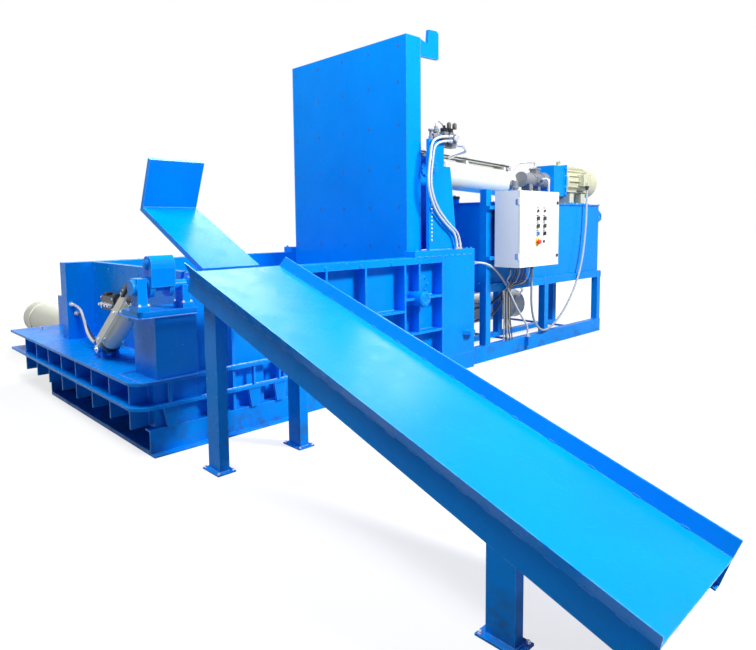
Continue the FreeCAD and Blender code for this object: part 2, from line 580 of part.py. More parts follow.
def make_lid_cylinder(name, side):
    """Barrel with trunnions, its supply pipes, and the rod with eye and piston, all along one line."""
    place = dict(x="trunnion_x", y="%s * lid_cylinder_y" % side, z="trunnion_height", turn_about=Y_AXIS, turn=LID_TILT)
    barrel = new_body("lid_barrel_" + name, **place)
    tail = "(lid_stroke + 150)"
    bore = "(lid_barrel / 2 - barrel_wall)"
    turned(barrel, "XZ_Plane", [
        ("-head_reach", "lid_rod / 2 + 1"), ("-head_reach", "lid_barrel / 2 - 12"), ("-head_reach + 12", "lid_barrel / 2"),
        (tail + " - 12", "lid_barrel / 2"), (tail, "lid_barrel / 2 - 12"), (tail, "0"),
        (tail + " - 45", "0"), (tail + " - 45", bore), ("-head_reach + 45", bore), ("-head_reach + 45", "lid_rod / 2 + 1"),
    ])
    for hand in ("-1", "1"):
        near, far = "%s * (lid_barrel / 2 - 10)" % hand, "%s * (lid_barrel / 2 + 5 + tower_plate)" % hand
        low, high = (far, near) if hand == "-1" else (near, far)
        pad(barrel, "XZ_Plane", low, high, ("0", "0", "trunnion_pin"))
    saddles = ("120", "lid_stroke / 2", "lid_stroke - 60")
    saddle_top = "(lid_barrel / 2 + 20)"
    for along in saddles:
        pad(barrel, "YZ_Plane", along, along + " + 40", block("-100", "60", "lid_barrel / 2 - barrel_wall + 1", saddle_top))
    pipes = new_body("lid_pipes_" + name, **place)
    for across in ("-75", "-20", "35"):
        pad(pipes, "YZ_Plane", "-60", tail + " - 30", (across, saddle_top + " + pipe_size / 2", "pipe_size"))
    for along in saddles:
        pad(pipes, "YZ_Plane", along, along + " + 40",
            block("-100", "60", saddle_top, saddle_top + " + pipe_size / 2 + 4"))
    rod = new_body("lid_rod_" + name, **place)
    reach = "(%s)" % LID_RUN
    end = "(lid_stroke + 60)"
    turned(rod, "XZ_Plane", [
        ("-%s + 55" % reach, "0"), ("-%s + 55" % reach, "lid_rod / 2"), (end + " - 90", "lid_rod / 2"),
        (end + " - 90", bore + " - 0.5"), (end, bore + " - 0.5"), (end, "0"),
    ])
    pad(rod, "XZ_Plane", "-85", "85", ("-%s" % reach, "0", "150"))
    pad(rod, "XZ_Plane", "-94", "94", ("-%s" % reach, "0", "lid_pin"))


# ---------------------------------------------------------------- rams and their cylinders
RAM_LOW, RAM_HIGH = "floor_top + ram_gap", "floor_top + ram_gap + ram_height"
MAIN_FACE = "(%s + chamber_width + main_stroke)" % LEFT
SIDE_X = "(%s + chamber_width / 2)" % LEFT


def make_main_ram():
    """Main ram: box with a thick face, ribbed and open behind, and its rod."""
    ram = new_body("main_ram")
    face, back = MAIN_FACE, MAIN_FACE + " + main_ram_length"
    half = "(%s - ram_gap)" % HALF
    pad(ram, "XY_Plane", RAM_LOW, RAM_HIGH, block(face, back, "-" + half, half))
    inner = RAM_LOW + " + thrust_plate", RAM_HIGH + " - thrust_plate"
    for low, high in (("-%s + thrust_plate" % half, "-main_rod / 2 - thrust_plate"),
                      ("main_rod / 2 + thrust_plate", "%s - thrust_plate" % half)):
        pocket(ram, "XY_Plane", inner[0], inner[1], block(face + " + 60", back, low, high))
    rod = new_body("main_ram_rod", z="main_axis")
    bore = "(main_barrel / 2 - barrel_wall)"
    end = "%s + main_stroke + 340" % HOUSING_END
    turned(rod, "XZ_Plane", [
        (back, "0"), (back, "main_rod / 2"), (end + " - 120", "main_rod / 2"),
        (end + " - 120", bore + " - 0.5"), (end, bore + " - 0.5"), (end, "0"),
    ])


def barrel_outline(start, end, barrel, rod):
    """Half section of a big cylinder: flange ring, tube, thicker end with a tapered cap, gland."""
    outer, bore = "%s / 2" % barrel, "(%s / 2 - barrel_wall)" % barrel
    return [
        (start, "%s / 2 + 1" % rod), (start, outer + " + 45"), (start + " + 60", outer + " + 45"),
        (start + " + 60", outer), (end + " - 260", outer), (end + " - 260", outer + " + 14"),
        (end + " - 60", outer + " + 14"), (end, outer + " - 50"), (end, "0"), (end + " - 60", "0"),
        (end + " - 60", bore), (start + " + 60", bore), (start + " + 60", "%s / 2 + 1" % rod),
    ]


def make_main_cylinder():
    body = new_body("main_cylinder", z="main_axis")
    turned(body, "XZ_Plane", barrel_outline(HOUSING_END, "(%s + main_stroke + 470)" % HOUSING_END,
                                            "main_barrel", "main_rod"))


def make_side_ram():
    """Side ram: box that closes the bale chamber, and its rod."""
    ram = new_body("side_ram")
    face, back = "(%s + 2 * ram_gap)" % HALF, "(%s + 2 * ram_gap + side_ram_length)" % HALF
    left, right = LEFT + " + ram_gap", LEFT + " + chamber_width - ram_gap"
    pad(ram, "XY_Plane", RAM_LOW, RAM_HIGH, block(left, right, face, back))
    pocket(ram, "XY_Plane", RAM_LOW + " + thrust_plate", "main_axis - side_rod / 2 - thrust_plate",
           block(left + " + thrust_plate", right + " - thrust_plate", face + " + 60", back))
    pocket(ram, "XY_Plane", "main_axis + side_rod / 2 + thrust_plate", RAM_HIGH + " - thrust_plate",
           block(left + " + thrust_plate", right + " - thrust_plate", face + " + 60", back))
    rod = new_body("side_ram_rod", x=SIDE_X, z="main_axis")
    bore = "(side_barrel / 2 - barrel_wall)"
    end = "%s + side_stroke + 300" % SIDE_BARREL_START
    turned(rod, "YZ_Plane", [
        (back, "0"), (back, "side_rod / 2"), (end + " - 120", "side_rod / 2"),
        (end + " - 120", bore + " - 0.5"), (end, bore + " - 0.5"), (end, "0"),
    ])


SIDE_BARREL_START = "(%s + side_housing + thrust_plate)" % OUTER


def make_side_cylinder():
    body = new_body("side_cylinder", x=SIDE_X, z="main_axis")
    turned(body, "YZ_Plane", barrel_outline(SIDE_BARREL_START, "(%s + side_stroke + 500)" % SIDE_BARREL_START,
                                            "side_barrel", "side_rod"))


# ---------------------------------------------------------------- turn-out arm and its drive
ARM_SURFACE = "(-%s - pivot_y)" % HALF
ARM_REACH = "(pivot_height - floor_top)"


def make_arm():
    """Turn-out arm: an L of two plates on three hinge lugs, modelled square and placed raised."""
    body = new_body("turnout_arm", y="pivot_y", z="pivot_height", turn_about=X_AXIS, turn="arm_raise")
    left, right = LEFT + " + arm_gap", LEFT + " + chamber_width - arm_gap"
    under = ARM_SURFACE + " - arm_plate"
    outline = [
        ("10", under), (ARM_REACH + " + arm_plate", under), (ARM_REACH + " + arm_plate", ARM_SURFACE + " + arm_lip"),
        (ARM_REACH, ARM_SURFACE + " + arm_lip"), (ARM_REACH, ARM_SURFACE), ("10", ARM_SURFACE),
    ]
    pad(body, "YZ_Plane", left, right, outline)
    for low, high in ((left, left + " + 35"), (SIDE_X + " - 25", SIDE_X + " + 25"), (right + " - 35", right)):
        pad(body, "YZ_Plane", low, high, [("-45", "0"), ("45", "0"), ("70", under + " + 1"), ("10", under + " + 1")])
        pad(body, "YZ_Plane", low, high, ("0", "0", "shaft_bore + 30"))
    pocket(body, "YZ_Plane", left, right, ("0", "0", "shaft_bore"))
    return body


CRANK_X = "(%s - end_wall - crank_offset)" % LEFT
CRANK_SIDE = "(crank_inside + crank_cheek)"
SHAFT_END = "(%s + chamber_width + 110)" % LEFT


def either_side(middle, near, far):
    """The low and high ends of two slabs that stand either side of a middle."""
    return (("%s - %s" % (middle, far), "%s - %s" % (middle, near)),
            ("%s + %s" % (middle, near), "%s + %s" % (middle, far)))


def make_turnout_shaft():
    """Turn-out shaft with its end collar and the crank: two cheeks, pin stubs and a curved cover."""
    body = new_body("turnout_shaft", y="pivot_y", z="pivot_height", turn_about=X_AXIS, turn="crank_angle")
    collar = CRANK_X + " - 196"
    turned(body, "XZ_Plane", [
        (collar, "0"), (collar, "shaft_bore / 2 + 18"), (collar + " + 18", "shaft_bore / 2 + 18"),
        (collar + " + 18", "shaft_bore / 2"), (SHAFT_END, "shaft_bore / 2"), (SHAFT_END, "0"),
    ])
    for low, high in either_side(CRANK_X, "crank_inside", CRANK_SIDE):
        pad(body, "YZ_Plane", low, high, ("0", "0", "crank_reach"))
        pad(body, "YZ_Plane", low, high, [("0", "-crank_reach / 2"), ("crank_reach", "-58"),
                                          ("crank_reach", "58"), ("0", "crank_reach / 2")])
        pad(body, "YZ_Plane", low, high, ("crank_reach", "0", "116"))
    for low, high in either_side(CRANK_X, CRANK_SIDE, "(%s + 14)" % CRANK_SIDE):
        pad(body, "YZ_Plane", low, high, ("crank_reach", "0", "crank_pin + 20"))
    # cover: round the pin's end and down the front between the cheeks
    cover = []
    for radius, turns in (("71", (24, 43, 62, 80)), ("53", (80, 62, 43, 24))):
        for angle in turns:
            lean = math.radians(angle)
            cover.append(("crank_reach + %s * %.5f" % (radius, math.cos(lean)),
                          "%s * %.5f" % (radius, math.sin(lean))))
        if radius == "71":
            cover += [("crank_reach - 20", "78"), ("10", "crank_reach / 2 + 10"), ("10", "crank_reach / 2 - 8"),
                      ("crank_reach - 20", "60")]
    pad(body, "YZ_Plane", CRANK_X + " - " + CRANK_SIDE, CRANK_X + " + " + CRANK_SIDE, cover)
    return body


PEDESTAL_LEFT = "(%s - end_wall - 310)" % LEFT


def make_pedestal():
    """Pedestal box on the upper flange with its bolster plate."""
    body = new_body("pedestal_box")
    wall = LEFT + " - end_wall"
    roof = "pedestal_top - bolster"
    pad(body, "XY_Plane", "upper_flange", roof, block(PEDESTAL_LEFT, wall, "-%s - 10" % OUTER, "-pedestal_back"))
    pocket(body, "XY_Plane", "upper_flange", roof,
           block(PEDESTAL_LEFT + " + 20", wall + " - 20", "-%s + 10" % OUTER, "-pedestal_back - 20"))
    pad(body, "XY_Plane", roof, "pedestal_top",
        block(PEDESTAL_LEFT + " - 115", wall, "-%s - 30" % OUTER, "-pedestal_back - 90"))
    rounded(body, "40", lambda edge: upright_edge(edge, Z_AXIS) and edge.Length < 60
            and edge.CenterOfMass.y < -1000 and edge.CenterOfMass.x < SIZE["box_length"] * -0.67)
    return body


def make_shaft_bearings():
    """Outer bearing block, half-ring saddle beside the wall, and the far bearing under the rim."""
    body = new_body("shaft_bearings")
    near, far = "pivot_y - 60", "pivot_y + 60"
    for low, high, top in ((CRANK_X + " - 170", CRANK_X + " - 106", "pivot_height + 62"),
                           (CRANK_X + " + 150", CRANK_X + " + 210", "pivot_height")):
        pad(body, "XY_Plane", "pedestal_top", top, block(low, high, near, far))
        pad(body, "XY_Plane", "pedestal_top", "pedestal_top + 40",
            block(low + " - 6", high + " + 12", near + " - 10", far + " + 20"))
    pad(body, "XY_Plane", "pivot_height - 75", "rim_height - rim_bar",
        block(LEFT + " + chamber_width + 45", LEFT + " + chamber_width + 105",
              "-%s + 2" % OUTER, "-%s - wall_plate" % HALF))
    pocket(body, "YZ_Plane", CRANK_X + " - 200", LEFT + " + chamber_width + 110",
           ("pivot_y", "pivot_height", "shaft_bore + 0.4"))
    return body


def make_turnout_clevis():
    """Base clevis of the turn-out cylinder on the upper flange."""
    body = new_body("turnout_clevis")
    lug = [("clevis_y - 75", "upper_flange"), ("clevis_y + 75", "upper_flange"),
           ("clevis_y + 38", "clevis_height + 34"), ("clevis_y - 38", "clevis_height + 34")]
    for low, high in either_side(CRANK_X, "44", "68"):
        pad(body, "YZ_Plane", low, high, lug)
    pad(body, "YZ_Plane", CRANK_X + " - 78", CRANK_X + " + 78", ("clevis_y", "clevis_height", "50"))
    # bulkhead plate that the hoses end on
    pad(body, "XZ_Plane", "clevis_y + 95", "clevis_y + 115",
        block(CRANK_X + " - 70", CRANK_X + " + 110", "upper_flange", "upper_flange + 120"))
    pad(body, "XZ_Plane", "clevis_y + 70", "clevis_y + 100",
        block(CRANK_X + " - 68", CRANK_X + " + 68", "upper_flange", "upper_flange + 30"))


def make_valve_block():
    """Turn-out valve: a block on the end wall with a solenoid at each end."""
    body = new_body("valve_block")
    wall = LEFT + " - end_wall"
    low, high = "pedestal_top - 150", "pedestal_top - 30"
    pad(body, "XY_Plane", low, high, block(wall + " - 110", wall, "160", "440"))
    pad(body, "XZ_Plane", "110", "490", (wall + " - 60", low + " + 85", "60"))


def make_lid_manifold():
    """Lid valves on the front tower's brace: manifold with hose ports in front and two valves on top."""
    body = new_body("lid_manifold")
    left = "(%s + lid_thickness + 240)" % LID_FACE
    front, back = "-%s - 90" % HALF, "-%s - 10" % HALF
    low = "trunnion_height + 200"
    pad(body, "XY_Plane", low, low + " + 110", block(left, left + " + 200", front, back))
    pad(body, "XY_Plane", low + " + 20", low + " + 130", block(left + " + 60", left + " + 130", front + " - 65", front))
    for along in ("20", "110"):
        near = left + " + " + along
        pad(body, "XY_Plane", low + " + 110", low + " + 160", block(near, near + " + 60", front + " + 5", back))
        pad(body, "XY_Plane", low + " + 160", low + " + 190", (near + " + 30", front + " + 40", "44"))


CRANK_PIN_Y = "(pivot_y + crank_reach * cos(crank_angle))"
CRANK_PIN_Z = "(pivot_height + crank_reach * sin(crank_angle))"
TURNOUT_RUN = "sqrt((%s - clevis_y) ^ 2 + (%s - clevis_height) ^ 2)" % (CRANK_PIN_Y, CRANK_PIN_Z)
TURNOUT_LEAN = "atan2(clevis_y - %s; %s - clevis_height) / 1 deg" % (CRANK_PIN_Y, CRANK_PIN_Z)


def make_turnout_cylinder():
    """Turn-out cylinder: barrel on the base pin, switch rail beside it, rod up to the crank."""
    place = dict(x=CRANK_X, y="clevis_y", z="clevis_height", turn_about=X_AXIS, turn=TURNOUT_LEAN)
    barrel = new_body("turnout_barrel", **place)
    bore = "turnout_bore / 2 - 14"
    turned(barrel, "XZ_Plane", [
        ("0", "70"), ("turnout_bore / 2", "70"), ("turnout_bore / 2", "turnout_tube"),
        ("turnout_rod / 2 + 1", "turnout_tube"), ("turnout_rod / 2 + 1", "turnout_tube - 50"),
        (bore, "turnout_tube - 50"), (bore, "110"), ("0", "110"),
    ], upright=True)
    pad(barrel, "YZ_Plane", "-41", "41", ("0", "0", "96"))
    pad(barrel, "YZ_Plane", "-41", "41", block("-48", "48", "0", "72"))
    pocket(barrel, "YZ_Plane", "-41", "41", ("0", "0", "50.6"))
    # ports, and the two lugs that carry the switch rail
    for height in ("120", "turnout_tube - 90"):
        pad(barrel, "YZ_Plane", "-22", "22", block("turnout_bore / 2 - 10", "turnout_bore / 2 + 30",
                                                   height, height + " + 44"))
    for height in ("170", "turnout_tube - 170"):
        pad(barrel, "XZ_Plane", "-15", "15", block("-turnout_bore / 2 - 30", "-turnout_bore / 2 + 4",
                                                   height, height + " + 30"))
    rail = new_body("switch_rail", **place)
    pad(rail, "YZ_Plane", "-turnout_bore / 2 - 38", "-turnout_bore / 2 - 30",
        block("-35", "35", "110", "turnout_tube + 230"))
    pad(rail, "YZ_Plane", "-turnout_bore / 2 - 62", "-turnout_bore / 2 - 38",
        block("-18", "18", "turnout_tube + 100", "turnout_tube + 190"))
    rod = new_body("turnout_rod", **place)
    run = "(%s)" % TURNOUT_RUN
    turned(rod, "XZ_Plane", [
        ("0", run + " - 600"), ("%s - 0.5" % bore, run + " - 600"), ("%s - 0.5" % bore, run + " - 550"),
        ("turnout_rod / 2", run + " - 550"), ("turnout_rod / 2", run + " - 30"), ("0", run + " - 30"),
    ], upright=True)
    pad(rod, "YZ_Plane", "-45", "45", ("0", run, "80"))
    pad(rod, "YZ_Plane", "-crank_inside + 1", "crank_inside - 1", ("0", run, "crank_pin"))


# ---------------------------------------------------------------- chute
def make_chute():
    """Chute tray with flared rails on two side channels, its legs, feet and wall tie."""
    place = dict(x="chute_x", y="chute_y", z="chute_top", turn_about=X_AXIS, turn="chute_slope")
    half = "chute_width / 2"
    tray = new_body("chute_tray", **place)
    pad(tray, "XZ_Plane", "-chute_length", "0", [
        ("-%s - chute_flare - chute_plate" % half, "chute_rail"), ("-%s - chute_plate" % half, "-chute_plate"),
        (half + " + chute_plate", "-chute_plate"), (half + " + chute_flare + chute_plate", "chute_rail"),
        (half + " + chute_flare", "chute_rail"), (half, "0"), ("-" + half, "0"), ("-%s - chute_flare" % half, "chute_rail"),
    ])
    frame = new_body("chute_frame", **place)
    for side in ("-1", "1"):
        outer, web = "%s * %s" % (side, half), "%s * (%s - chute_plate)" % (side, half)
        inner = "%s * (%s - 50)" % (side, half)
        top, low = "-chute_plate", "-chute_plate - chute_channel"
        pad(frame, "XZ_Plane", "-chute_length", "0", [
            (outer, top), (outer, low), (inner, low), (inner, low + " + chute_plate"), (web, low + " + chute_plate"),
            (web, top + " - chute_plate"), (inner, top + " - chute_plate"), (inner, top),
        ])
    for share in ("0.02", "0.34", "0.66", "0.97"):
        along = "-%s * chute_length" % share
        pad(frame, "YZ_Plane", "-%s + chute_plate" % half, half + " - chute_plate",
            block(along + " - 40", along, "-chute_plate - 60", "-chute_plate"))
    legs = new_body("chute_legs")
    under = "(chute_top - (chute_plate + chute_channel) / cos(chute_slope))"
    for left, right, near, far in (
        ("chute_x - %s + 45" % half, "chute_x - %s + 45 + leg_width" % half, "chute_y - 80", "chute_y - 80 - leg_depth"),
        ("chute_x + %s" % half + " - 5", "chute_x + %s - 5 + leg_width" % half, "chute_y - 80", "chute_y - 80 - leg_depth"),
        ("chute_x - %s" % half, "chute_x - %s + 52" % half, "chute_y - 2320", "chute_y - 2320 - 135"),
        ("chute_x + %s - 52" % half, "chute_x + %s" % half, "chute_y - 2320", "chute_y - 2320 - 135"),
    ):
        high_near = "%s + (%s - chute_y) * tan(chute_slope)" % (under, near)
        high_far = "%s + (%s - chute_y) * tan(chute_slope)" % (under, far)
        pad(legs, "YZ_Plane", left, right, [(far, "0"), (near, "0"), (near, high_near), (far, high_far)])
        pad(legs, "XY_Plane", "0", "10", block(left + " - 30", right + " + 30", far + " - 30", near + " + 30"))
    tie_z = "(rim_height - 300)"
    pad(legs, "YZ_Plane", "chute_x + %s - 5" % half, "chute_x + %s + 5" % half,
        block("chute_y - 80", "-%s" % OUTER, tie_z, tie_z + " + 60"))


# ---------------------------------------------------------------- power pack
TANK_LEFT = "(%s - 15 - tank_length)" % POWER_END
TANK_FRONT = "(%s - 50)" % POWER_FRONT
CABINET_BACK = "(%s + 50)" % POWER_FRONT
CABINET_FRONT = "(%s + 50 + cabinet_depth)" % POWER_FRONT


def make_tank_stand():
    """Posts and rails of the power pack's stand, with the tall post and rails that carry the cabinet."""
    body = new_body("tank_stand")
    deep = "(main_barrel / 2 + 45 + 20)"
    under = "tank_bottom - stand_post"
    lefts = ("%s - 30 - stand_post" % TANK_LEFT, TANK_LEFT + " + 1140", POWER_END + " - 15 - stand_post")
    tops = ("cabinet_bottom + cabinet_tall + 25", under, under)
    fronts = ("-" + POWER_FRONT, "-%s + stand_post" % POWER_FRONT)
    backs = ("-%s - stand_post" % deep, "-" + deep)
    sill = "floor_top - floor_plate"
    for left, front_top in zip(lefts, tops):
        right = left + " + stand_post"
        pad(body, "XY_Plane", "base_height", front_top, block(left, right, *fronts))
        pad(body, "XY_Plane", sill + " + 60", under, block(left, right, *backs))
    pad(body, "XY_Plane", sill, sill + " + 60", block(HOUSING_END, POWER_END + " - 15", *backs))
    for front, back in (fronts, backs):
        pad(body, "XY_Plane", under, "tank_bottom", block(lefts[0], POWER_END + " - 15", front, back))
    for left in (lefts[0], lefts[2]):
        pad(body, "XY_Plane", under, "tank_bottom", block(left, left + " + stand_post", "-" + POWER_FRONT, "-" + deep))
    for low in ("cabinet_bottom + 80", "cabinet_bottom + cabinet_tall - 200"):
        pad(body, "XY_Plane", low, low + " + 40",
            block(lefts[0], "cabinet_x + cabinet_width - 60", "-" + CABINET_BACK, "-" + TANK_FRONT))
    return body


def make_tank():
    """Oil tank: folded box with a lid plate, filler neck, side lug and gauge strip."""
    body = new_body("tank")
    back = "-(%s - tank_depth)" % TANK_FRONT
    top = "tank_bottom + tank_height"
    right = TANK_LEFT + " + tank_length"
    pad(body, "XY_Plane", "tank_bottom", top, block(TANK_LEFT, right, "-" + TANK_FRONT, back))
    pocket(body, "XY_Plane", "tank_bottom + tank_plate", top, block(
        TANK_LEFT + " + tank_plate", right + " - tank_plate", "-%s + tank_plate" % TANK_FRONT, back + " - tank_plate"))
    pad(body, "XY_Plane", top, top + " + 12", block(TANK_LEFT + " - 20", right, "-%s - 20" % TANK_FRONT, back + " + 20"))
    pad(body, "XY_Plane", top + " + 12", top + " + 70", (TANK_LEFT + " + 240", back + " - 200", "120"))
    lug = [(right, top + " - 240"), (right + " + 95", top + " - 200"), (right + " + 95", top + " - 120"), (right, top + " - 60")]
    pad(body, "XZ_Plane", "-" + TANK_FRONT, "-%s + 20" % TANK_FRONT, lug, (right + " + 50", top + " - 155", "lug_hole"))
    return body


def make_motor():
    """Finned motor on its mounting plate, cowl, pump, bell housing and the rotor inside."""
    top = "tank_bottom + tank_height + 12"
    start = "(%s - 15 - motor_length - 195)" % POWER_END
    place = dict(x=start, y="motor_y", z="motor_height")
    frame = new_body("motor_body", **place)
    body_size = "(motor_size / 2 - 26)"
    turned(frame, "XZ_Plane", [
        ("0", "rotor_shaft / 2 + 2"), ("0", body_size + " + 12"), ("40", body_size + " + 12"), ("40", body_size),
        ("motor_length - 40", body_size), ("motor_length - 40", body_size + " + 12"), ("motor_length", body_size + " + 12"),
        ("motor_length", "rotor_shaft / 2 + 2"),
    ])
    for step in range(18):
        turn = step * 20 - 80
        pad_fin(frame, turn, body_size)
    floor = "-(motor_height - (%s))" % top
    pad(frame, "XY_Plane", floor, "-motor_size / 2 + 60", block("110", "220", "-170", "170"))
    pad(frame, "XY_Plane", floor, "-motor_size / 2 + 60", block("motor_length - 220", "motor_length - 110", "-170", "170"))
    pad(frame, "XY_Plane", "motor_size / 2 - 60", "motor_size / 2 + 20", block("60", "120", "-14", "14"))
    pad(frame, "XZ_Plane", "-14", "14", ("90", "motor_size / 2 + 45", "66"), ("90", "motor_size / 2 + 45", "36"))
    pad(frame, "XZ_Plane", "-motor_size / 2 - 50", "-motor_size / 2 + 60",
        block("motor_length / 2 - 20", "motor_length / 2 + 160", "-60", "100"))
    # cable elbow on the terminal box
    pad(frame, "XZ_Plane", "-motor_size / 2 - 100", "-motor_size / 2 - 50",
        block("motor_length / 2", "motor_length / 2 + 46", "-60", "-14"))
    cowl = new_body("motor_cowl", **place)
    rim = body_size + " + 14"
    turned(cowl, "XZ_Plane", [
        ("motor_length", body_size + " + 6"), ("motor_length", rim), ("motor_length + 170", rim),
        ("motor_length + 195", body_size + " - 20"), ("motor_length + 195", "60"),
        ("motor_length + 187", "60"), ("motor_length + 187", body_size + " - 24"),
        ("motor_length + 166", body_size + " + 6"),
    ])


def pad_fin(frame, turn, body_size):
    """One cooling fin, a thin plate standing out from the frame at an angle."""
    lean = math.radians(turn)
    across, up = math.cos(lean), math.sin(lean)
    side_u, side_v = -up * 3, across * 3
    near, far = "(%s - 4)" % body_size, "(motor_size / 2)"
    corners = []
    for reach, hand in ((near, -1), (far, -1), (far, 1), (near, 1)):
        corners.append(("%s * %.5f + %.5f" % (reach, across, hand * side_u),
                        "%s * %.5f + %.5f" % (reach, up, hand * side_v)))
    pad(frame, "YZ_Plane", "40", "motor_length - 40", corners)


def make_rotor_and_pump():
    start = "(%s - 15 - motor_length - 195)" % POWER_END
    place = dict(x=start, y="motor_y", z="motor_height")
    rotor = new_body("motor_rotor", **place)
    body_size = "(motor_size / 2 - 26)"
    turned(rotor, "XZ_Plane", [
        ("-310", "0"), ("-310", "25"), ("-150", "25"), ("-150", "55"), ("-70", "55"), ("-70", "rotor_shaft / 2"),
        ("motor_length + 60", "rotor_shaft / 2"), ("motor_length + 60", "50"),
        ("motor_length + 120", "50"), ("motor_length + 120", "0"),
    ])
    for step in range(6):
        lean = math.radians(step * 60)
        across, up = math.cos(lean), math.sin(lean)
        corners = []
        for reach, hand in (("40", -4), (body_size + " - 30", -4), (body_size + " - 30", 4), ("40", 4)):
            corners.append(("%s * %.5f - %.5f" % ("(%s)" % reach, across, hand * up),
                            "%s * %.5f + %.5f" % ("(%s)" % reach, up, hand * across)))
        pad(rotor, "YZ_Plane", "motor_length + 60", "motor_length + 120", corners)
    bell = new_body("bell_housing", **place)
    pad(bell, "YZ_Plane", "-290", "-12", block("-160", "160", "-200", "200"), ("0", "0", "180"))
    pad(bell, "YZ_Plane", "-12", "0", block("-185", "185", "-200", "215"), ("0", "0", "180"))
    pump = new_body("pump", **place)
    turned(pump, "XZ_Plane", [
        ("-830", "0"), ("-830", "66"), ("-620", "90"), ("-400", "90"), ("-330", "110"),
        ("-291", "110"), ("-291", "26"), ("-320", "26"), ("-320", "0"),
    ])
    pad(pump, "XY_Plane", "-130", "0", block("-720", "-640", "-60", "60"))
    pad(pump, "XY_Plane", "0", "140", block("-550", "-450", "-45", "45"))
    top = "tank_bottom + tank_height + 12 - motor_height"
    pad(pump, "XY_Plane", top, "-60", block("-700", "-640", "-40", "40"), block("-480", "-420", "-40", "40"))


# ---------------------------------------------------------------- control cabinet
CONTROL_COLUMNS = ("cabinet_x + 0.43 * cabinet_width", "cabinet_x + 0.60 * cabinet_width")
CONTROL_ROWS = ("cabinet_bottom + 0.74 * cabinet_tall", "cabinet_bottom + 0.64 * cabinet_tall",
                "cabinet_bottom + 0.54 * cabinet_tall", "cabinet_bottom + 0.44 * cabinet_tall")


LATCH_SHARES = ("0.85", "0.13")


def cut_out(across, up, half):
    """The corners of a square cut-out round a point."""
    return block("%s - %s" % (across, half), "%s + %s" % (across, half), "%s - %s" % (up, half), "%s + %s" % (up, half))


def make_cabinet():
    """Sheet cabinet with a flanged opening, its door, latches and controls."""
    shell = new_body("cabinet_shell")
    top, right = "cabinet_bottom + cabinet_tall", "cabinet_x + cabinet_width"
    pad(shell, "XZ_Plane", "-%s + 22" % CABINET_FRONT, "-" + CABINET_BACK,
        block("cabinet_x", right, "cabinet_bottom", top))
    pocket(shell, "XZ_Plane", "-%s + 22" % CABINET_FRONT, "-%s - tank_plate" % CABINET_BACK,
           block("cabinet_x + tank_plate", right + " - tank_plate",
                 "cabinet_bottom + tank_plate", top + " - tank_plate"))
    # keepers that the latches turn behind
    for share in LATCH_SHARES:
        level = "cabinet_bottom + %s * cabinet_tall" % share
        pad(shell, "XZ_Plane", "-%s + 22" % CABINET_FRONT, "-%s + 27" % CABINET_FRONT,
            block(right + " - tank_plate - 18", right + " - tank_plate", level + " - 25", level + " + 25"))
    door = new_body("cabinet_door")
    clear = "(button_size / 2 + 0.5)"
    holes = [cut_out(column, place, clear) for column in CONTROL_COLUMNS for place in CONTROL_ROWS[1:]]
    holes.append(cut_out(CONTROL_COLUMNS[0], "cabinet_bottom + 0.33 * cabinet_tall", clear))
    latches = [cut_out("cabinet_x + cabinet_width - 40", "cabinet_bottom + %s * cabinet_tall" % share, "13.5")
               for share in LATCH_SHARES]
    pad(door, "XZ_Plane", "-" + CABINET_FRONT, "-%s + 20" % CABINET_FRONT,
        block("cabinet_x + 2", right + " - 2", "cabinet_bottom + 2", top + " - 2"), *holes, *latches)
    pocket(door, "XZ_Plane", "-%s + tank_plate" % CABINET_FRONT, "-%s + 20" % CABINET_FRONT,
           block("cabinet_x + 14", right + " - 14", "cabinet_bottom + 14", top + " - 14"))
    for column in CONTROL_COLUMNS:
        pad(door, "XZ_Plane", "-%s - 8" % CABINET_FRONT, "-" + CABINET_FRONT, (column, CONTROL_ROWS[0], "24"))


def make_controls():
    """Push buttons, selectors, emergency stop and latches, each its own piece."""
    front = "-" + CABINET_FRONT
    names = {(0, 1): "button_1", (1, 1): "button_2", (0, 2): "button_3", (1, 2): "button_4",
             (0, 3): "selector_1", (1, 3): "selector_2"}
    for (column, row_index), name in names.items():
        knob = new_body(name, x=CONTROL_COLUMNS[column], y=front, z=CONTROL_ROWS[row_index])
        if name.startswith("button"):
            pad(knob, "XZ_Plane", "-13", "40", ("0", "0", "button_size"))
            pad(knob, "XZ_Plane", "-21", "-13", block("-22", "22", "-22", "22"))
        else:
            pad(knob, "XZ_Plane", "-6", "40", ("0", "0", "button_size"))
            pad(knob, "XZ_Plane", "-12", "-6", block("-21", "21", "-21", "21"))
            pad(knob, "XZ_Plane", "-30", "-12", block("-6", "6", "-20", "20"))
    stop = new_body("emergency_stop", x=CONTROL_COLUMNS[0], y=front, z="cabinet_bottom + 0.33 * cabinet_tall")
    pad(stop, "XZ_Plane", "-22", "40", block("-14", "14", "-14", "14"))
    turned(stop, "YZ_Plane", [("-22", "0"), ("-22", "28"), ("-42", "24"), ("-42", "0")])
    for share, name in zip(LATCH_SHARES, ("door_latch_upper", "door_latch_lower")):
        latch = new_body(name, x="cabinet_x + cabinet_width - 40", y=front, z="cabinet_bottom + %s * cabinet_tall" % share)
        pad(latch, "XZ_Plane", "0", "30", ("0", "0", "26"))
        pad(latch, "XZ_Plane", "-10", "0", block("-17", "17", "-17", "17"))
        pad(latch, "XZ_Plane", "30", "34", block("-8", "8", "-10", "30"))


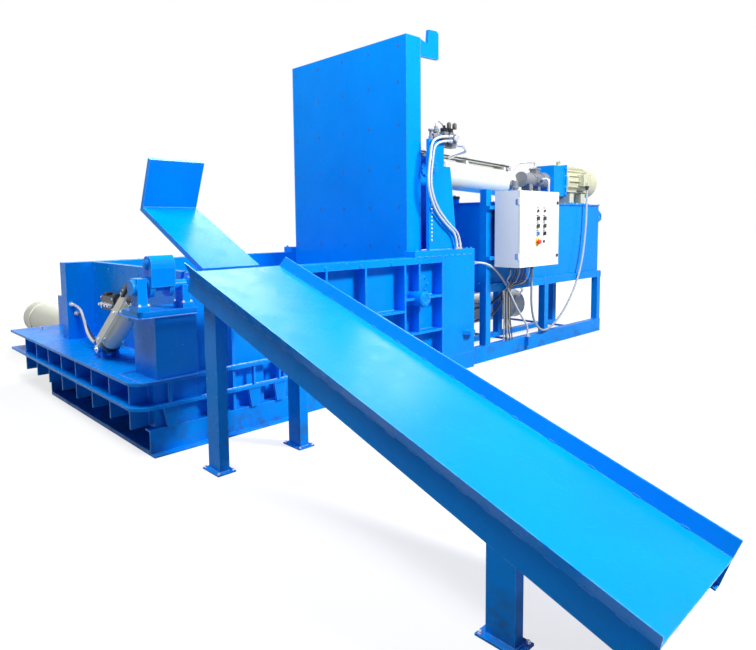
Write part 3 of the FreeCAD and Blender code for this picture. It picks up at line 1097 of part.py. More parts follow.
# ---------------------------------------------------------------- hoses and cables
# Each route is hand-laid through these points, in the part's own frame.
HOSES = {
    "hose_lid_white_1": (24, [
        (1590, -1085, 2470), (1310, -1085, 2470), (1262, -1085, 2240), (1225, -1085, 1960),
        (1330, -1085, 1720), (1510, -1085, 1570), (1690, -1085, 1456), (1690, -1085, 1310)]),
    "hose_lid_white_2": (24, [
        (1590, -1085, 2425), (1340, -1085, 2425), (1296, -1085, 2200), (1264, -1085, 1965),
        (1365, -1085, 1745), (1560, -1085, 1575), (1745, -1085, 1460), (1745, -1085, 1310)]),
    "hose_turnout_white": (24, [
        (-1520, 950, 860), (-1520, 740, 860), (-1550, 545, 780), (-1590, 310, 600), (-1590, 55, 600)]),
    "hose_turnout_black": (24, [
        (-1480, 950, 770), (-1480, 800, 770), (-1492, 650, 665), (-1506, 430, 585),
        (-1520, 215, 575), (-1520, 55, 575)]),
    "cable_motor": (28, [
        (4548, -1070, 2070), (4548, -1070, 1740), (4515, -1073, 1400), (4440, -1076, 1070),
        (4290, -1078, 760), (4040, -1080, 480), (3740, -1082, 270), (3430, -1090, 190),
        (3190, -1110, 330), (3060, -1140, 570), (3000, -1180, 830), (3000, -1180, 1085)]),
    "hose_pack_white": (24, [
        (1975, -1085, 1150), (2170, -1085, 1150), (2400, -1083, 1050), (2620, -1081, 860),
        (2800, -1080, 610), (2970, -1080, 420), (3090, -1080, 310), (3090, -1080, 180)]),
}


def make_hose(label, diameter, points):
    """A tube of straight runs joined by tangent arcs."""
    corners = [Vector(*point) for point in points]
    edges = []
    start = corners[0]
    for before, corner, after in zip(corners, corners[1:], corners[2:]):
        arriving, leaving = corner - before, after - corner
        cut = 0.45 * min(arriving.Length, leaving.Length)
        radius = cut / math.tan(arriving.getAngle(leaving) / 2)
        arriving.normalize()
        leaving.normalize()
        inward = (leaving - arriving).normalize()
        middle = corner + inward * (math.hypot(radius, cut) - radius)
        edges.append(Part.LineSegment(start, corner - arriving * cut).toShape())
        edges.append(Part.Arc(corner - arriving * cut, middle, corner + leaving * cut).toShape())
        start = corner + leaving * cut
        print(label, "turn", round(math.degrees(arriving.getAngle(leaving))), "radius", round(radius))
    edges.append(Part.LineSegment(start, corners[-1]).toShape())
    path = Part.Wire(edges)
    ring = Part.Wire(Part.makeCircle(diameter / 2, corners[0], corners[1] - corners[0]))
    tube = doc.addObject("Part::Feature", label)
    tube.Label = label
    tube.Shape = path.makePipe(Part.Face(ring))
    section = math.pi * diameter ** 2 / 4
    print(label, "volume over section times length", round(tube.Shape.Volume / (section * path.Length), 4))


def build_all():
    """Every piece in turn."""
    make_base_frame()
    make_floor_plate()
    make_front_wall()
    make_back_wall()
    make_left_wall()
    make_chamber_end()
    make_side_housing()
    make_thrust_housing()
    make_lid()
    for name, side in (("front", "-1"), ("back", "1")):
        make_tower("lid_tower_" + name, side)
        make_lid_cylinder(name, side)
    make_main_ram()
    make_main_cylinder()
    make_side_ram()
    make_side_cylinder()
    make_arm()
    make_turnout_shaft()
    make_pedestal()
    make_shaft_bearings()
    make_turnout_clevis()
    make_turnout_cylinder()
    make_valve_block()
    make_lid_manifold()
    make_chute()
    make_tank_stand()
    make_tank()
    make_motor()
    make_rotor_and_pump()
    make_cabinet()
    make_controls()
    for label, (diameter, points) in HOSES.items():
        make_hose(label, diameter, points)


build_all()
doc.recompute()


def write_parts():
    """Check every object, then write each piece under its label."""
    for item in doc.Objects:
        if {"Invalid", "Error"} & set(item.State):
            raise SystemExit("failed: %s %s %s" % (item.Name, item.Label, item.State))
    os.makedirs("parts", exist_ok=True)
    for item in doc.Objects:
        if item.TypeId in ("PartDesign::Body", "Part::Feature"):
            shape = item.Shape
            if shape.isNull() or not shape.isValid():
                raise SystemExit("bad shape: %s" % item.Label)
            print(item.Label, len(shape.Solids), shape.BoundBox)
            shape.exportStep("parts/%s.step" % item.Label)


write_parts()
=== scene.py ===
import bpy
import bmesh
import json
import math
from mathutils import Matrix, Vector


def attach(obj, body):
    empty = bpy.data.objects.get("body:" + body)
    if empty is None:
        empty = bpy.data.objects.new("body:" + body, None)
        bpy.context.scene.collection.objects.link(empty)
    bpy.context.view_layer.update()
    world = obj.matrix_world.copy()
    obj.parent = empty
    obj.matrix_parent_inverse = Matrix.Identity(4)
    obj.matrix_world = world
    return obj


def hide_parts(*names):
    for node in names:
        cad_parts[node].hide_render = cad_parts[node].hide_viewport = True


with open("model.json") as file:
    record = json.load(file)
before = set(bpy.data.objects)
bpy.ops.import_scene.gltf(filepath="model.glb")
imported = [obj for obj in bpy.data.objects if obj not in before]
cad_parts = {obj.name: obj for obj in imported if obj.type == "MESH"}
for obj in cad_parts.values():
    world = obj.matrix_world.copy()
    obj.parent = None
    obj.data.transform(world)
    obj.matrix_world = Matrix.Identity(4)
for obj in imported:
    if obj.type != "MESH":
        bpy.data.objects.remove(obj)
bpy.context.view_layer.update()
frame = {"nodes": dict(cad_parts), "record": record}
nodes = frame["nodes"]

# ---------------------------------------------------------------- camera
# Found from the photo's vanishing lines: an eye in front of the left end, at a standing height,
# that looks along the machine and a little down. Pixels are those of the 756 by 650 picture.
picture_width, focal_pixels, centre_drop = 756.0, 610.0, 50.0
eye = Vector((-3.400, -5.150, 1.600))
forward_turn, down, roll = math.radians(46.01), math.radians(4.93), math.radians(-0.53)
level = Vector((math.cos(forward_turn), math.sin(forward_turn), 0))
beside = level.cross(Vector((0, 0, 1)))
look = level * math.cos(down) - Vector((0, 0, 1)) * math.sin(down)
above = level * math.sin(down) + Vector((0, 0, 1)) * math.cos(down)
right = beside * math.cos(roll) + above * math.sin(roll)
up = above * math.cos(roll) - beside * math.sin(roll)
camera = bpy.data.objects.new("camera", bpy.data.cameras.new("camera"))
camera.data.sensor_width = 36.0
camera.data.lens = focal_pixels / picture_width * 36.0
camera.data.shift_y = -centre_drop / picture_width
camera.data.clip_end = 200.0
camera.matrix_world = Matrix((
    (right.x, up.x, -look.x, eye.x),
    (right.y, up.y, -look.y, eye.y),
    (right.z, up.z, -look.z, eye.z),
    (0, 0, 0, 1)))
bpy.context.scene.collection.objects.link(camera)
bpy.context.scene.camera = camera
bpy.context.scene.view_settings.view_transform = "Standard"


# ---------------------------------------------------------------- hoses and cables
# Pressure hoses in white sleeves, one of black rubber, and the motor's cable in its conduit. Each
# hangs between two fittings of the machine, through the points of the CAD solid that it replaces.
def laid(name, points, diameter, body="frame"):
    """A round hose on one smooth curve that its points pull into place."""
    data = bpy.data.curves.new(name, "CURVE")
    data.dimensions = "3D"
    data.bevel_depth = 1.0
    data.bevel_resolution = 3
    data.resolution_u = 10
    data.use_fill_caps = True
    spline = data.splines.new("NURBS")
    spline.points.add(len(points) - 1)
    for control, point in zip(spline.points, points):
        control.co = (*point, 1)
        control.radius = diameter / 2
    spline.order_u = 3
    spline.use_endpoint_u = True
    made = bpy.data.objects.new(name, data)
    bpy.context.scene.collection.objects.link(made)
    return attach(made, body)


hose_routes = {
    "hose_lid_white_1": (1.598, 0.024, [
        (1.590, -1.085, 2.470), (1.310, -1.085, 2.470), (1.262, -1.085, 2.240), (1.225, -1.085, 1.960),
        (1.330, -1.085, 1.720), (1.510, -1.085, 1.570), (1.690, -1.085, 1.456), (1.690, -1.085, 1.310)]),
    "hose_lid_white_2": (1.530, 0.024, [
        (1.590, -1.085, 2.425), (1.340, -1.085, 2.425), (1.296, -1.085, 2.200), (1.264, -1.085, 1.965),
        (1.365, -1.085, 1.745), (1.560, -1.085, 1.575), (1.745, -1.085, 1.460), (1.745, -1.085, 1.310)]),
    "hose_turnout_white": (0.964, 0.024, [
        (-1.520, 0.950, 0.860), (-1.520, 0.740, 0.860), (-1.550, 0.545, 0.780),
        (-1.590, 0.310, 0.600), (-1.590, 0.055, 0.600)]),
    "hose_turnout_black": (0.937, 0.024, [
        (-1.480, 0.950, 0.770), (-1.480, 0.800, 0.770), (-1.492, 0.650, 0.665), (-1.506, 0.430, 0.585),
        (-1.520, 0.215, 0.575), (-1.520, 0.055, 0.575)]),
    "cable_motor": (3.464, 0.028, [
        (4.548, -1.070, 2.070), (4.548, -1.070, 1.740), (4.515, -1.073, 1.400), (4.440, -1.076, 1.070),
        (4.290, -1.078, 0.760), (4.040, -1.080, 0.480), (3.740, -1.082, 0.270), (3.430, -1.090, 0.190),
        (3.190, -1.110, 0.330), (3.060, -1.140, 0.570), (3.000, -1.180, 0.830), (3.000, -1.180, 1.085)]),
    "hose_pack_white": (1.580, 0.024, [
        (1.975, -1.085, 1.150), (2.170, -1.085, 1.150), (2.400, -1.083, 1.050), (2.620, -1.081, 0.860),
        (2.800, -1.080, 0.610), (2.970, -1.080, 0.420), (3.090, -1.080, 0.310), (3.090, -1.080, 0.180)]),
}
hoses = {}
for name, (length, diameter, points) in hose_routes.items():
    hose = laid(name + "_laid", points, diameter)
    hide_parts(name)
    hoses[name] = hose


# ---------------------------------------------------------------- lamps and world
# A works hall: a lamp in front for the lit faces, two rows of roof lights for the tops and the
# sheen on the chute, and a weak sky. Camera, gloss and glass see a white backdrop instead.
def lamp(name, place, target, watts, width, depth):
    """An oblong lamp that faces its target."""
    data = bpy.data.lights.new(name, "AREA")
    data.energy = watts
    data.shape = "RECTANGLE"
    data.size = width
    data.size_y = depth
    made = bpy.data.objects.new(name, data)
    made.location = place
    made.rotation_mode = "QUATERNION"
    made.rotation_quaternion = (Vector(target) - Vector(place)).to_track_quat("-Z", "Y")
    bpy.context.scene.collection.objects.link(made)


lamp("key", (3.0, -7.8, 6.6), (0.4, -1.0, 0.9), 1150, 1.8, 1.5)
lamp("roof_near", (-3.2, -1.6, 7.6), (0.6, -0.4, 1.4), 560, 4.4, 2.6)
lamp("roof_far", (7.5, 6.4, 9.5), (-1.0, -2.0, 1.0), 1150, 9.0, 3.6)
world = bpy.data.worlds.new("studio")
world.use_nodes = True
bpy.context.scene.world = world


def seen_plain(tree):
    """A factor of 1 for rays from the camera, from gloss and through glass."""
    path = tree.nodes.new("ShaderNodeLightPath")
    total = path.outputs["Is Camera Ray"]
    for ray in ("Is Glossy Ray", "Is Transmission Ray"):
        more = tree.nodes.new("ShaderNodeMath")
        more.operation = "MAXIMUM"
        tree.links.new(total, more.inputs[0])
        tree.links.new(path.outputs[ray], more.inputs[1])
        total = more.outputs[0]
    return total


tree = world.node_tree
tree.nodes.clear()
out = tree.nodes.new("ShaderNodeOutputWorld")
sky = tree.nodes.new("ShaderNodeBackground")
sky.inputs["Color"].default_value = (0.80, 0.87, 0.96, 1)
sky.inputs["Strength"].default_value = 0.10
backdrop = tree.nodes.new("ShaderNodeBackground")
backdrop.inputs["Color"].default_value = (1, 1, 1, 1)
backdrop.inputs["Strength"].default_value = 1.0
pick = tree.nodes.new("ShaderNodeMixShader")
tree.links.new(seen_plain(tree), pick.inputs["Fac"])
tree.links.new(sky.outputs[0], pick.inputs[1])
tree.links.new(backdrop.outputs[0], pick.inputs[2])
tree.links.new(pick.outputs[0], out.inputs[0])

# ---------------------------------------------------------------- floor
# A pale floor that only carries the shadow. Its light is lifted where it is seen, and fades into
# the white backdrop with distance, so that no horizon shows.
ground_mesh = bpy.data.meshes.new("ground")
bm = bmesh.new()
bmesh.ops.create_grid(bm, x_segments=2, y_segments=2, size=60)
bm.to_mesh(ground_mesh)
bm.free()
ground = bpy.data.objects.new("ground", ground_mesh)
bpy.context.scene.collection.objects.link(ground)
ground_paint = bpy.data.materials.new("ground_paint")
ground_paint.use_nodes = True
tree = ground_paint.node_tree
shader = tree.nodes["Principled BSDF"]
shader.inputs["Base Color"].default_value = (0.30, 0.30, 0.30, 1)
shader.inputs["Roughness"].default_value = 0.9
shader.inputs["Specular IOR Level"].default_value = 0.1
white = tree.nodes.new("ShaderNodeEmission")
far_off = tree.nodes.new("ShaderNodeVectorMath")
far_off.operation = "LENGTH"
tree.links.new(tree.nodes.new("ShaderNodeTexCoord").outputs["Object"], far_off.inputs[0])
fade = tree.nodes.new("ShaderNodeMapRange")
fade_start, fade_end, near_lift, far_lift = 5.0, 12.0, 0.74, 1.0
for socket, value in (("From Min", fade_start), ("From Max", fade_end), ("To Min", near_lift), ("To Max", far_lift)):
    fade.inputs[socket].default_value = value
tree.links.new(far_off.outputs["Value"], fade.inputs["Value"])
tree.links.new(fade.outputs[0], white.inputs["Strength"])
lift = tree.nodes.new("ShaderNodeAddShader")
blank = tree.nodes.new("ShaderNodeMixShader")
tree.links.new(shader.outputs[0], lift.inputs[0])
tree.links.new(white.outputs[0], lift.inputs[1])
tree.links.new(seen_plain(tree), blank.inputs["Fac"])
tree.links.new(shader.outputs[0], blank.inputs[1])
tree.links.new(lift.outputs[0], blank.inputs[2])
tree.links.new(blank.outputs[0], tree.nodes["Material Output"].inputs["Surface"])
ground_mesh.materials.append(ground_paint)


# ---------------------------------------------------------------- shared surface wear and painted light
# Sprayed enamel on welded plate: clouds and runs in the coat, bare edges with a painted highlight, painted shade
# with grime low down, smears, chips and weld spatter. Every finish of the machine takes its amounts from this group.
def node(tree, kind, **values):
    """A shader node with its settings and unlinked inputs given by name."""
    made = tree.nodes.new("ShaderNode" + kind)
    for name, value in values.items():
        if hasattr(made, name):
            setattr(made, name, value)
        else:
            made.inputs[name.replace("_", " ")].default_value = value
    return made


def noise(tree, scale, detail=4.0, roughness=0.55, stretch=(1, 1, 1)):
    """Noise fixed to the object, stretched along its axes."""
    coord = tree.nodes.new("ShaderNodeTexCoord")
    mapping = tree.nodes.new("ShaderNodeMapping")
    mapping.inputs["Scale"].default_value = stretch
    tree.links.new(coord.outputs["Object"], mapping.inputs["Vector"])
    made = node(tree, "TexNoise", Scale=scale, Detail=detail, Roughness=roughness)
    tree.links.new(mapping.outputs[0], made.inputs["Vector"])
    return made.outputs["Fac"]


def ramp(tree, value, low, high):
    """A soft step from 0 at low to 1 at high."""
    made = node(tree, "MapRange", From_Min=low, From_Max=high, To_Min=0.0, To_Max=1.0)
    made.interpolation_type = "SMOOTHSTEP"
    tree.links.new(value, made.inputs["Value"])
    return made.outputs["Result"]


def combine(tree, operation, a, b):
    """A sum or product of two values or sockets."""
    made = tree.nodes.new("ShaderNodeMath")
    made.operation = operation
    for socket, value in ((made.inputs[0], a), (made.inputs[1], b)):
        if isinstance(value, float):
            socket.default_value = value
        else:
            tree.links.new(value, socket)
    return made.outputs[0]


def times(tree, a, b):
    """The product of two values or sockets."""
    return combine(tree, "MULTIPLY", a, b)


def tint(tree, amount, under, over):
    """One colour laid over another by an amount."""
    made = tree.nodes.new("ShaderNodeMix")
    made.data_type = "RGBA"
    tree.links.new(amount, made.inputs["Factor"])
    for socket, value in ((made.inputs["A"], under), (made.inputs["B"], over)):
        if isinstance(value, tuple):
            socket.default_value = value
        else:
            tree.links.new(value, socket)
    return made.outputs["Result"]


# one group for real wear and for painted light: a painted highlight on edges and painted shade low down
wear_and_painted_light = bpy.data.node_groups.new("paint_wear", "ShaderNodeTree")
for label, kind, value in (
    ("Colour", "Color", (0, 0.2, 0.8, 1)), ("Shade", "Color", (0, 0.1, 0.5, 1)), ("Grime_and_low_shade", "Float", 0.5),
    ("Chips", "Float", 0.3), ("Roughness", "Float", 0.3), ("Edge", "Float", 0.3),
):
    wear_and_painted_light.interface.new_socket(label, in_out="INPUT", socket_type="NodeSocket" + kind).default_value = value
for label, kind in (("Colour", "Color"), ("Roughness", "Float"), ("Height", "Float")):
    wear_and_painted_light.interface.new_socket(label, in_out="OUTPUT", socket_type="NodeSocket" + kind)
given, result = wear_and_painted_light.nodes.new("NodeGroupInput"), wear_and_painted_light.nodes.new("NodeGroupOutput")
# broad clouds and vertical runs in the paint
cloud = ramp(wear_and_painted_light, noise(wear_and_painted_light, 1.3, 5.0), 0.30, 0.75)
base = tint(wear_and_painted_light, times(wear_and_painted_light, cloud, 0.40), given.outputs["Colour"], given.outputs["Shade"])
run = ramp(wear_and_painted_light, noise(wear_and_painted_light, 9.0, 3.0, stretch=(2.2, 2.2, 0.12)), 0.56, 0.80)
base = tint(wear_and_painted_light, times(wear_and_painted_light, run, 0.18), base, given.outputs["Shade"])
# brighter, cyan paint along plate edges: worn paint with a painted highlight where the edges catch light
soft_normal = node(wear_and_painted_light, "Bevel", samples=4, Radius=0.007)
true_normal = wear_and_painted_light.nodes.new("ShaderNodeNewGeometry")
agree = node(wear_and_painted_light, "VectorMath", operation="DOT_PRODUCT")
wear_and_painted_light.links.new(soft_normal.outputs[0], agree.inputs[0])
wear_and_painted_light.links.new(true_normal.outputs["Normal"], agree.inputs[1])
edge = ramp(wear_and_painted_light, agree.outputs["Value"], 0.985, 0.86)
edge = times(wear_and_painted_light, edge, ramp(wear_and_painted_light, noise(wear_and_painted_light, 14.0, 5.0, 0.7), 0.30, 0.62))
edge = times(wear_and_painted_light, edge, given.outputs["Edge"])
rubbed_paint_and_highlight = (0.12, 0.46, 0.92, 1)
base = tint(wear_and_painted_light, edge, base, rubbed_paint_and_highlight)
# painted shade with patches of grime low down, darker towards the floor; smears and dark scuffs
place = wear_and_painted_light.nodes.new("ShaderNodeSeparateXYZ")
coord = wear_and_painted_light.nodes.new("ShaderNodeTexCoord")
wear_and_painted_light.links.new(coord.outputs["Object"], place.inputs[0])
low_down = ramp(wear_and_painted_light, place.outputs["Z"], 0.40, 0.0)
patch = ramp(wear_and_painted_light, noise(wear_and_painted_light, 6.0, 8.0, 0.72), 0.44, 0.72)
low_shade_and_grime = times(wear_and_painted_light, times(wear_and_painted_light, low_down, patch), given.outputs["Grime_and_low_shade"])
# dark slate laid low down: painted shade near the floor, mixed with grime
low_shade_and_grime_colour = (0.045, 0.055, 0.075, 1)
base = tint(wear_and_painted_light, times(wear_and_painted_light, low_shade_and_grime, 0.8), base, low_shade_and_grime_colour)
smear = ramp(wear_and_painted_light, noise(wear_and_painted_light, 3.1, 8.0, 0.72), 0.61, 0.76)
smear = times(wear_and_painted_light, times(wear_and_painted_light, smear, 0.22), given.outputs["Grime_and_low_shade"])
oil_smear = (0.03, 0.06, 0.13, 1)
base = tint(wear_and_painted_light, smear, base, oil_smear)
# bright chips and spatter in patches
speck = ramp(wear_and_painted_light, noise(wear_and_painted_light, 52.0, 3.0, 0.5), 0.735, 0.765)
zone = ramp(wear_and_painted_light, noise(wear_and_painted_light, 1.1, 2.0), 0.48, 0.64)
speck = times(wear_and_painted_light, times(wear_and_painted_light, speck, zone), given.outputs["Chips"])
bare_speck = (0.62, 0.70, 0.76, 1)
base = tint(wear_and_painted_light, speck, base, bare_speck)
wear_and_painted_light.links.new(base, result.inputs["Colour"])
# duller in patches and where darkened low down; orange peel and the slight waves of rolled plate
dull = times(wear_and_painted_light, ramp(wear_and_painted_light, noise(wear_and_painted_light, 5.0, 6.0, 0.6), 0.3, 0.8), 0.14)
rough = combine(wear_and_painted_light, "ADD", given.outputs["Roughness"], dull)
wear_and_painted_light.links.new(combine(wear_and_painted_light, "ADD", rough, times(wear_and_painted_light, low_shade_and_grime, 0.35)), result.inputs["Roughness"])
peel = times(wear_and_painted_light, noise(wear_and_painted_light, 260.0, 2.0), 0.30)
wave = combine(wear_and_painted_light, "ADD", noise(wear_and_painted_light, 2.3, 2.0), times(wear_and_painted_light, noise(wear_and_painted_light, 0.8, 1.0), 3.0))
wear_and_painted_light.links.new(combine(wear_and_painted_light, "ADD", peel, wave), result.inputs["Height"])


def painted(name, colour, shade, grime_and_low_shade, chips, roughness, coat=0.0, bump=0.25, metallic=0.0,
            specular=0.5, edge=0.0):
    """A coated or bare surface with the shared wear, its painted edge highlight and painted shade low down."""
    made = bpy.data.materials.new(name)
    made.use_nodes = True
    tree = made.node_tree
    shader = tree.nodes["Principled BSDF"]
    skin = tree.nodes.new("ShaderNodeGroup")
    skin.node_tree = wear_and_painted_light
    for socket, value in (
        ("Colour", (*colour, 1)), ("Shade", (*shade, 1)), ("Grime_and_low_shade", grime_and_low_shade), ("Chips", chips),
        ("Roughness", roughness), ("Edge", edge),
    ):
        skin.inputs[socket].default_value = value
    dent = tree.nodes.new("ShaderNodeBump")
    dent.inputs["Strength"].default_value = bump
    dent.inputs["Distance"].default_value = 0.004
    tree.links.new(skin.outputs["Height"], dent.inputs["Height"])
    tree.links.new(skin.outputs["Colour"], shader.inputs["Base Color"])
    tree.links.new(skin.outputs["Roughness"], shader.inputs["Roughness"])
    tree.links.new(dent.outputs[0], shader.inputs["Normal"])
    shader.inputs["Coat Weight"].default_value = coat
    shader.inputs["Coat Roughness"].default_value = 0.10
    shader.inputs["Metallic"].default_value = metallic
    shader.inputs["Specular IOR Level"].default_value = specular
    return made


paints = {
    "blue_paint": painted("blue_enamel",
                          (0.0, 0.275, 0.92), (0.0, 0.180, 0.70), 0.8, 0.6, 0.22, specular=0.06, edge=0.75),
    "beige_paint": painted("beige_enamel",
                           (0.76, 0.77, 0.66), (0.62, 0.62, 0.50), 0.9, 0.4, 0.36, 0.1, edge=0.2),
    "grey_iron": painted("grey_casting",
                         (0.20, 0.21, 0.23), (0.10, 0.11, 0.13), 0.9, 0.5, 0.42, 0.0, 0.6, edge=0.3),
    "cabinet_paint": painted("cabinet_enamel",
                             (0.82, 0.84, 0.80), (0.74, 0.76, 0.72), 0.25, 0.05, 0.34, 0.1, 0.10),
    "black_plastic": painted("black_moulding",
                             (0.020, 0.020, 0.022), (0.035, 0.035, 0.04), 0.3, 0.0, 0.40, 0.0, 0.1),
    "blue_plastic": painted("blue_moulding",
                            (0.10, 0.28, 0.62), (0.08, 0.20, 0.46), 0.3, 0.0, 0.35, 0.0, 0.1),
    "red_plastic": painted("red_moulding",
                           (0.74, 0.02, 0.02), (0.55, 0.02, 0.02), 0.3, 0.0, 0.25, 0.2, 0.1),
    "black_paint": painted("black_enamel", (0.022, 0.023, 0.026), (0.05, 0.05, 0.055), 0.7, 0.4, 0.40, 0.1),
    "chromed_rod": painted("hard_chrome",
                           (0.78, 0.78, 0.80), (0.66, 0.66, 0.69), 0.4, 0.0, 0.10, 0.0, 0.05, 1.0),
    "zinc_pipe": painted("zinc_plate",
                         (0.74, 0.74, 0.76), (0.58, 0.59, 0.62), 0.6, 0.2, 0.26, 0.0, 0.2, 1.0),
    "white_hose": painted("white_sleeve", (0.62, 0.66, 0.70), (0.46, 0.50, 0.55), 0.5, 0.2, 0.45, 0.0, 0.3),
    "black_hose": painted("black_rubber",
                          (0.020, 0.021, 0.024), (0.045, 0.047, 0.05), 0.5, 0.1, 0.38, 0.0, 0.3),
}
conduit = painted("grey_conduit", (0.40, 0.45, 0.50), (0.22, 0.26, 0.30), 0.6, 0.2, 0.40, 0.0, 0.4)
motor_paint = painted("motor_enamel",
                      (0.58, 0.58, 0.42), (0.42, 0.41, 0.29), 0.9, 0.5, 0.38, 0.0, 0.3, edge=0.3)
steel = painted("zinc_fastener", (0.68, 0.69, 0.72), (0.50, 0.51, 0.54), 0.5, 0.2, 0.30, 0.0, 0.2, 1.0)
yellow = painted("yellow_moulding", (0.85, 0.55, 0.02), (0.72, 0.44, 0.02), 0.2, 0.0, 0.35, 0.0, 0.1)
bead_paint = painted("painted_weld",
                     (0.02, 0.27, 0.86), (0.0, 0.15, 0.60), 0.6, 1.0, 0.30, 0.0, 0.5, edge=0.0)
blue, beige, iron = paints["blue_paint"], paints["beige_paint"], paints["grey_iron"]
slot_of = {row["node"]: row["material_slot"] for row in frame["record"]["subparts"]}
for name, made in nodes.items():
    for holder in made.material_slots:
        holder.material = paints[slot_of[name]]
for name in ("motor_body", "motor_cowl"):
    nodes[name].material_slots[0].material = motor_paint
for name, made in hoses.items():
    made.data.materials.append(conduit if name == "cable_motor" else paints[slot_of[name]])


# ---------------------------------------------------------------- hose ends
# Crimped steel sleeves with swivel nuts on the hoses, and tapered rubber glands on the motor cable.
# The makers of turned, plated, bolted, welded and bent pieces are defined here and used below.
def shown(name, bm, material, body="frame"):
    """Closes a mesh, smooths what is round, gives it its finish and lets it ride on a body."""
    bmesh.ops.recalc_face_normals(bm, faces=bm.faces)
    mesh = bpy.data.meshes.new(name)
    bm.to_mesh(mesh)
    bm.free()
    for polygon in mesh.polygons:
        polygon.use_smooth = True
    mesh.set_sharp_from_angle(angle=math.radians(32))
    mesh.materials.append(material)
    made = bpy.data.objects.new(name, mesh)
    bpy.context.scene.collection.objects.link(made)
    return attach(made, body)


def turned(bm, at, axis, outline, sides=20, start=0.0):
    """Adds a turned solid; outline holds (height along the axis, radius) pairs."""
    axis = Vector(axis).normalized()
    lie = axis.to_track_quat("Z", "Y").to_matrix()
    rings = []
    for height, radius in outline:
        if radius == 0:
            rings.append([bm.verts.new(Vector(at) + axis * height)])
            continue
        rings.append([])
        for step in range(sides):
            turn = start + step * math.tau / sides
            spoke = Vector((radius * math.cos(turn), radius * math.sin(turn), height))
            rings[-1].append(bm.verts.new(Vector(at) + lie @ spoke))
    for low, high in zip(rings, rings[1:]):
        for step in range(sides):
            after = (step + 1) % sides
            corners = (low[step % len(low)], low[after % len(low)], high[after % len(high)], high[step % len(high)])
            bm.faces.new(list(dict.fromkeys(corners)))
    for ring in (rings[0], rings[-1]):
        if len(ring) > 2:
            bm.faces.new(ring)


def slab(bm, low, high, bevel=0.002, lie=None):
    """Adds a plate with softened edges between two corners, then lays it by a matrix."""
    low, high = Vector(low), Vector(high)
    made = bmesh.ops.create_cube(bm, size=1.0, matrix=Matrix.LocRotScale((low + high) / 2, None, high - low))
    edges = list({edge for vert in made["verts"] for edge in vert.link_edges})
    cut = bmesh.ops.bevel(bm, geom=edges, offset=bevel, segments=2, affect="EDGES", profile=0.5)
    if lie is not None:
        verts = {vert for face in cut["faces"] for vert in face.verts}
        bmesh.ops.transform(bm, matrix=lie, verts=list(verts))


def bolt(bm, at, axis, across=0.030, washer=True):
    """Adds a hexagon head on its washer."""
    half = across / 2
    base = 0.0
    if washer:
        turned(bm, at, axis, [(-0.001, half * 1.35), (0.0025, half * 1.35), (0.0035, half * 1.25)], 20)
        base = 0.003
    turned(bm, at, axis, [
        (base, half * 1.08), (base + half * 0.95, half * 1.08), (base + half * 1.12, half * 0.93),
        (base + half * 1.13, 0)], 6, 0.26)


def bolt_ring(bm, centre, axis, radius, count, across, start=0.0, washer=True):
    """Adds bolts evenly round a circle whose axis lies along X or along Y."""
    for step in range(count):
        turn = step * math.tau / count + start
        out, rise = radius * math.cos(turn), radius * math.sin(turn)
        spoke = Vector((0, out, rise)) if axis[0] else Vector((out, 0, rise))
        bolt(bm, Vector(centre) + spoke, axis, across, washer)


def weld(bm, start, end, size=0.006):
    """Adds a rippled fillet bead between two points."""
    start, end = Vector(start), Vector(end)
    along = end - start
    ripple = 0.013
    count = max(2, round(along.length / ripple)) * 2
    outline = [(0.0, size * 0.55)]
    for step in range(1, count):
        swell = 1.18 if step % 2 else 0.92
        outline.append((along.length * step / count, size * (swell + 0.08 * math.sin(step * 2.3))))
    outline.append((along.length, size * 0.55))
    turned(bm, start, along, outline, 6)


def stitches(bm, start, end, count, length, size=0.006):
    """Adds short beads spread evenly between two points."""
    start, end = Vector(start), Vector(end)
    way = (end - start).normalized()
    for step in range(count):
        middle = start.lerp(end, (step + 0.5) / count)
        weld(bm, middle - way * length / 2, middle + way * length / 2, size)


def hexagon(bm, at, axis, across, length):
    """Adds a pipe nut with chamfered ends."""
    half = across / 2
    turned(bm, at, axis, [
        (0, half * 0.9), (length * 0.08, half * 1.06), (length * 0.92, half * 1.06), (length, half * 0.9)], 6)


def pipe(name, points, diameter, bend, material, body="frame"):
    """A rigid pipe: straight runs joined by round bends."""
    points = [Vector(point) for point in points]
    line = [points[0]]
    for before, corner, after in zip(points, points[1:], points[2:]):
        arriving, leaving = (corner - before), (after - corner)
        half = arriving.angle(leaving) / 2
        cut = min(bend * math.tan(half), 0.49 * arriving.length, 0.49 * leaving.length)
        first, last = corner - arriving.normalized() * cut, corner + leaving.normalized() * cut
        for step in range(7):
            share = step / 6
            line.append(first.lerp(corner, share).lerp(corner.lerp(last, share), share))
    line.append(points[-1])
    data = bpy.data.curves.new(name, "CURVE")
    data.dimensions = "3D"
    data.bevel_depth = 1.0
    data.bevel_resolution = 3
    data.use_fill_caps = True
    spline = data.splines.new("POLY")
    spline.points.add(len(line) - 1)
    for control, point in zip(spline.points, line):
        control.co = (*point, 1)
        control.radius = diameter / 2
    data.materials.append(material)
    made = bpy.data.objects.new(name, data)
    bpy.context.scene.collection.objects.link(made)
    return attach(made, body)


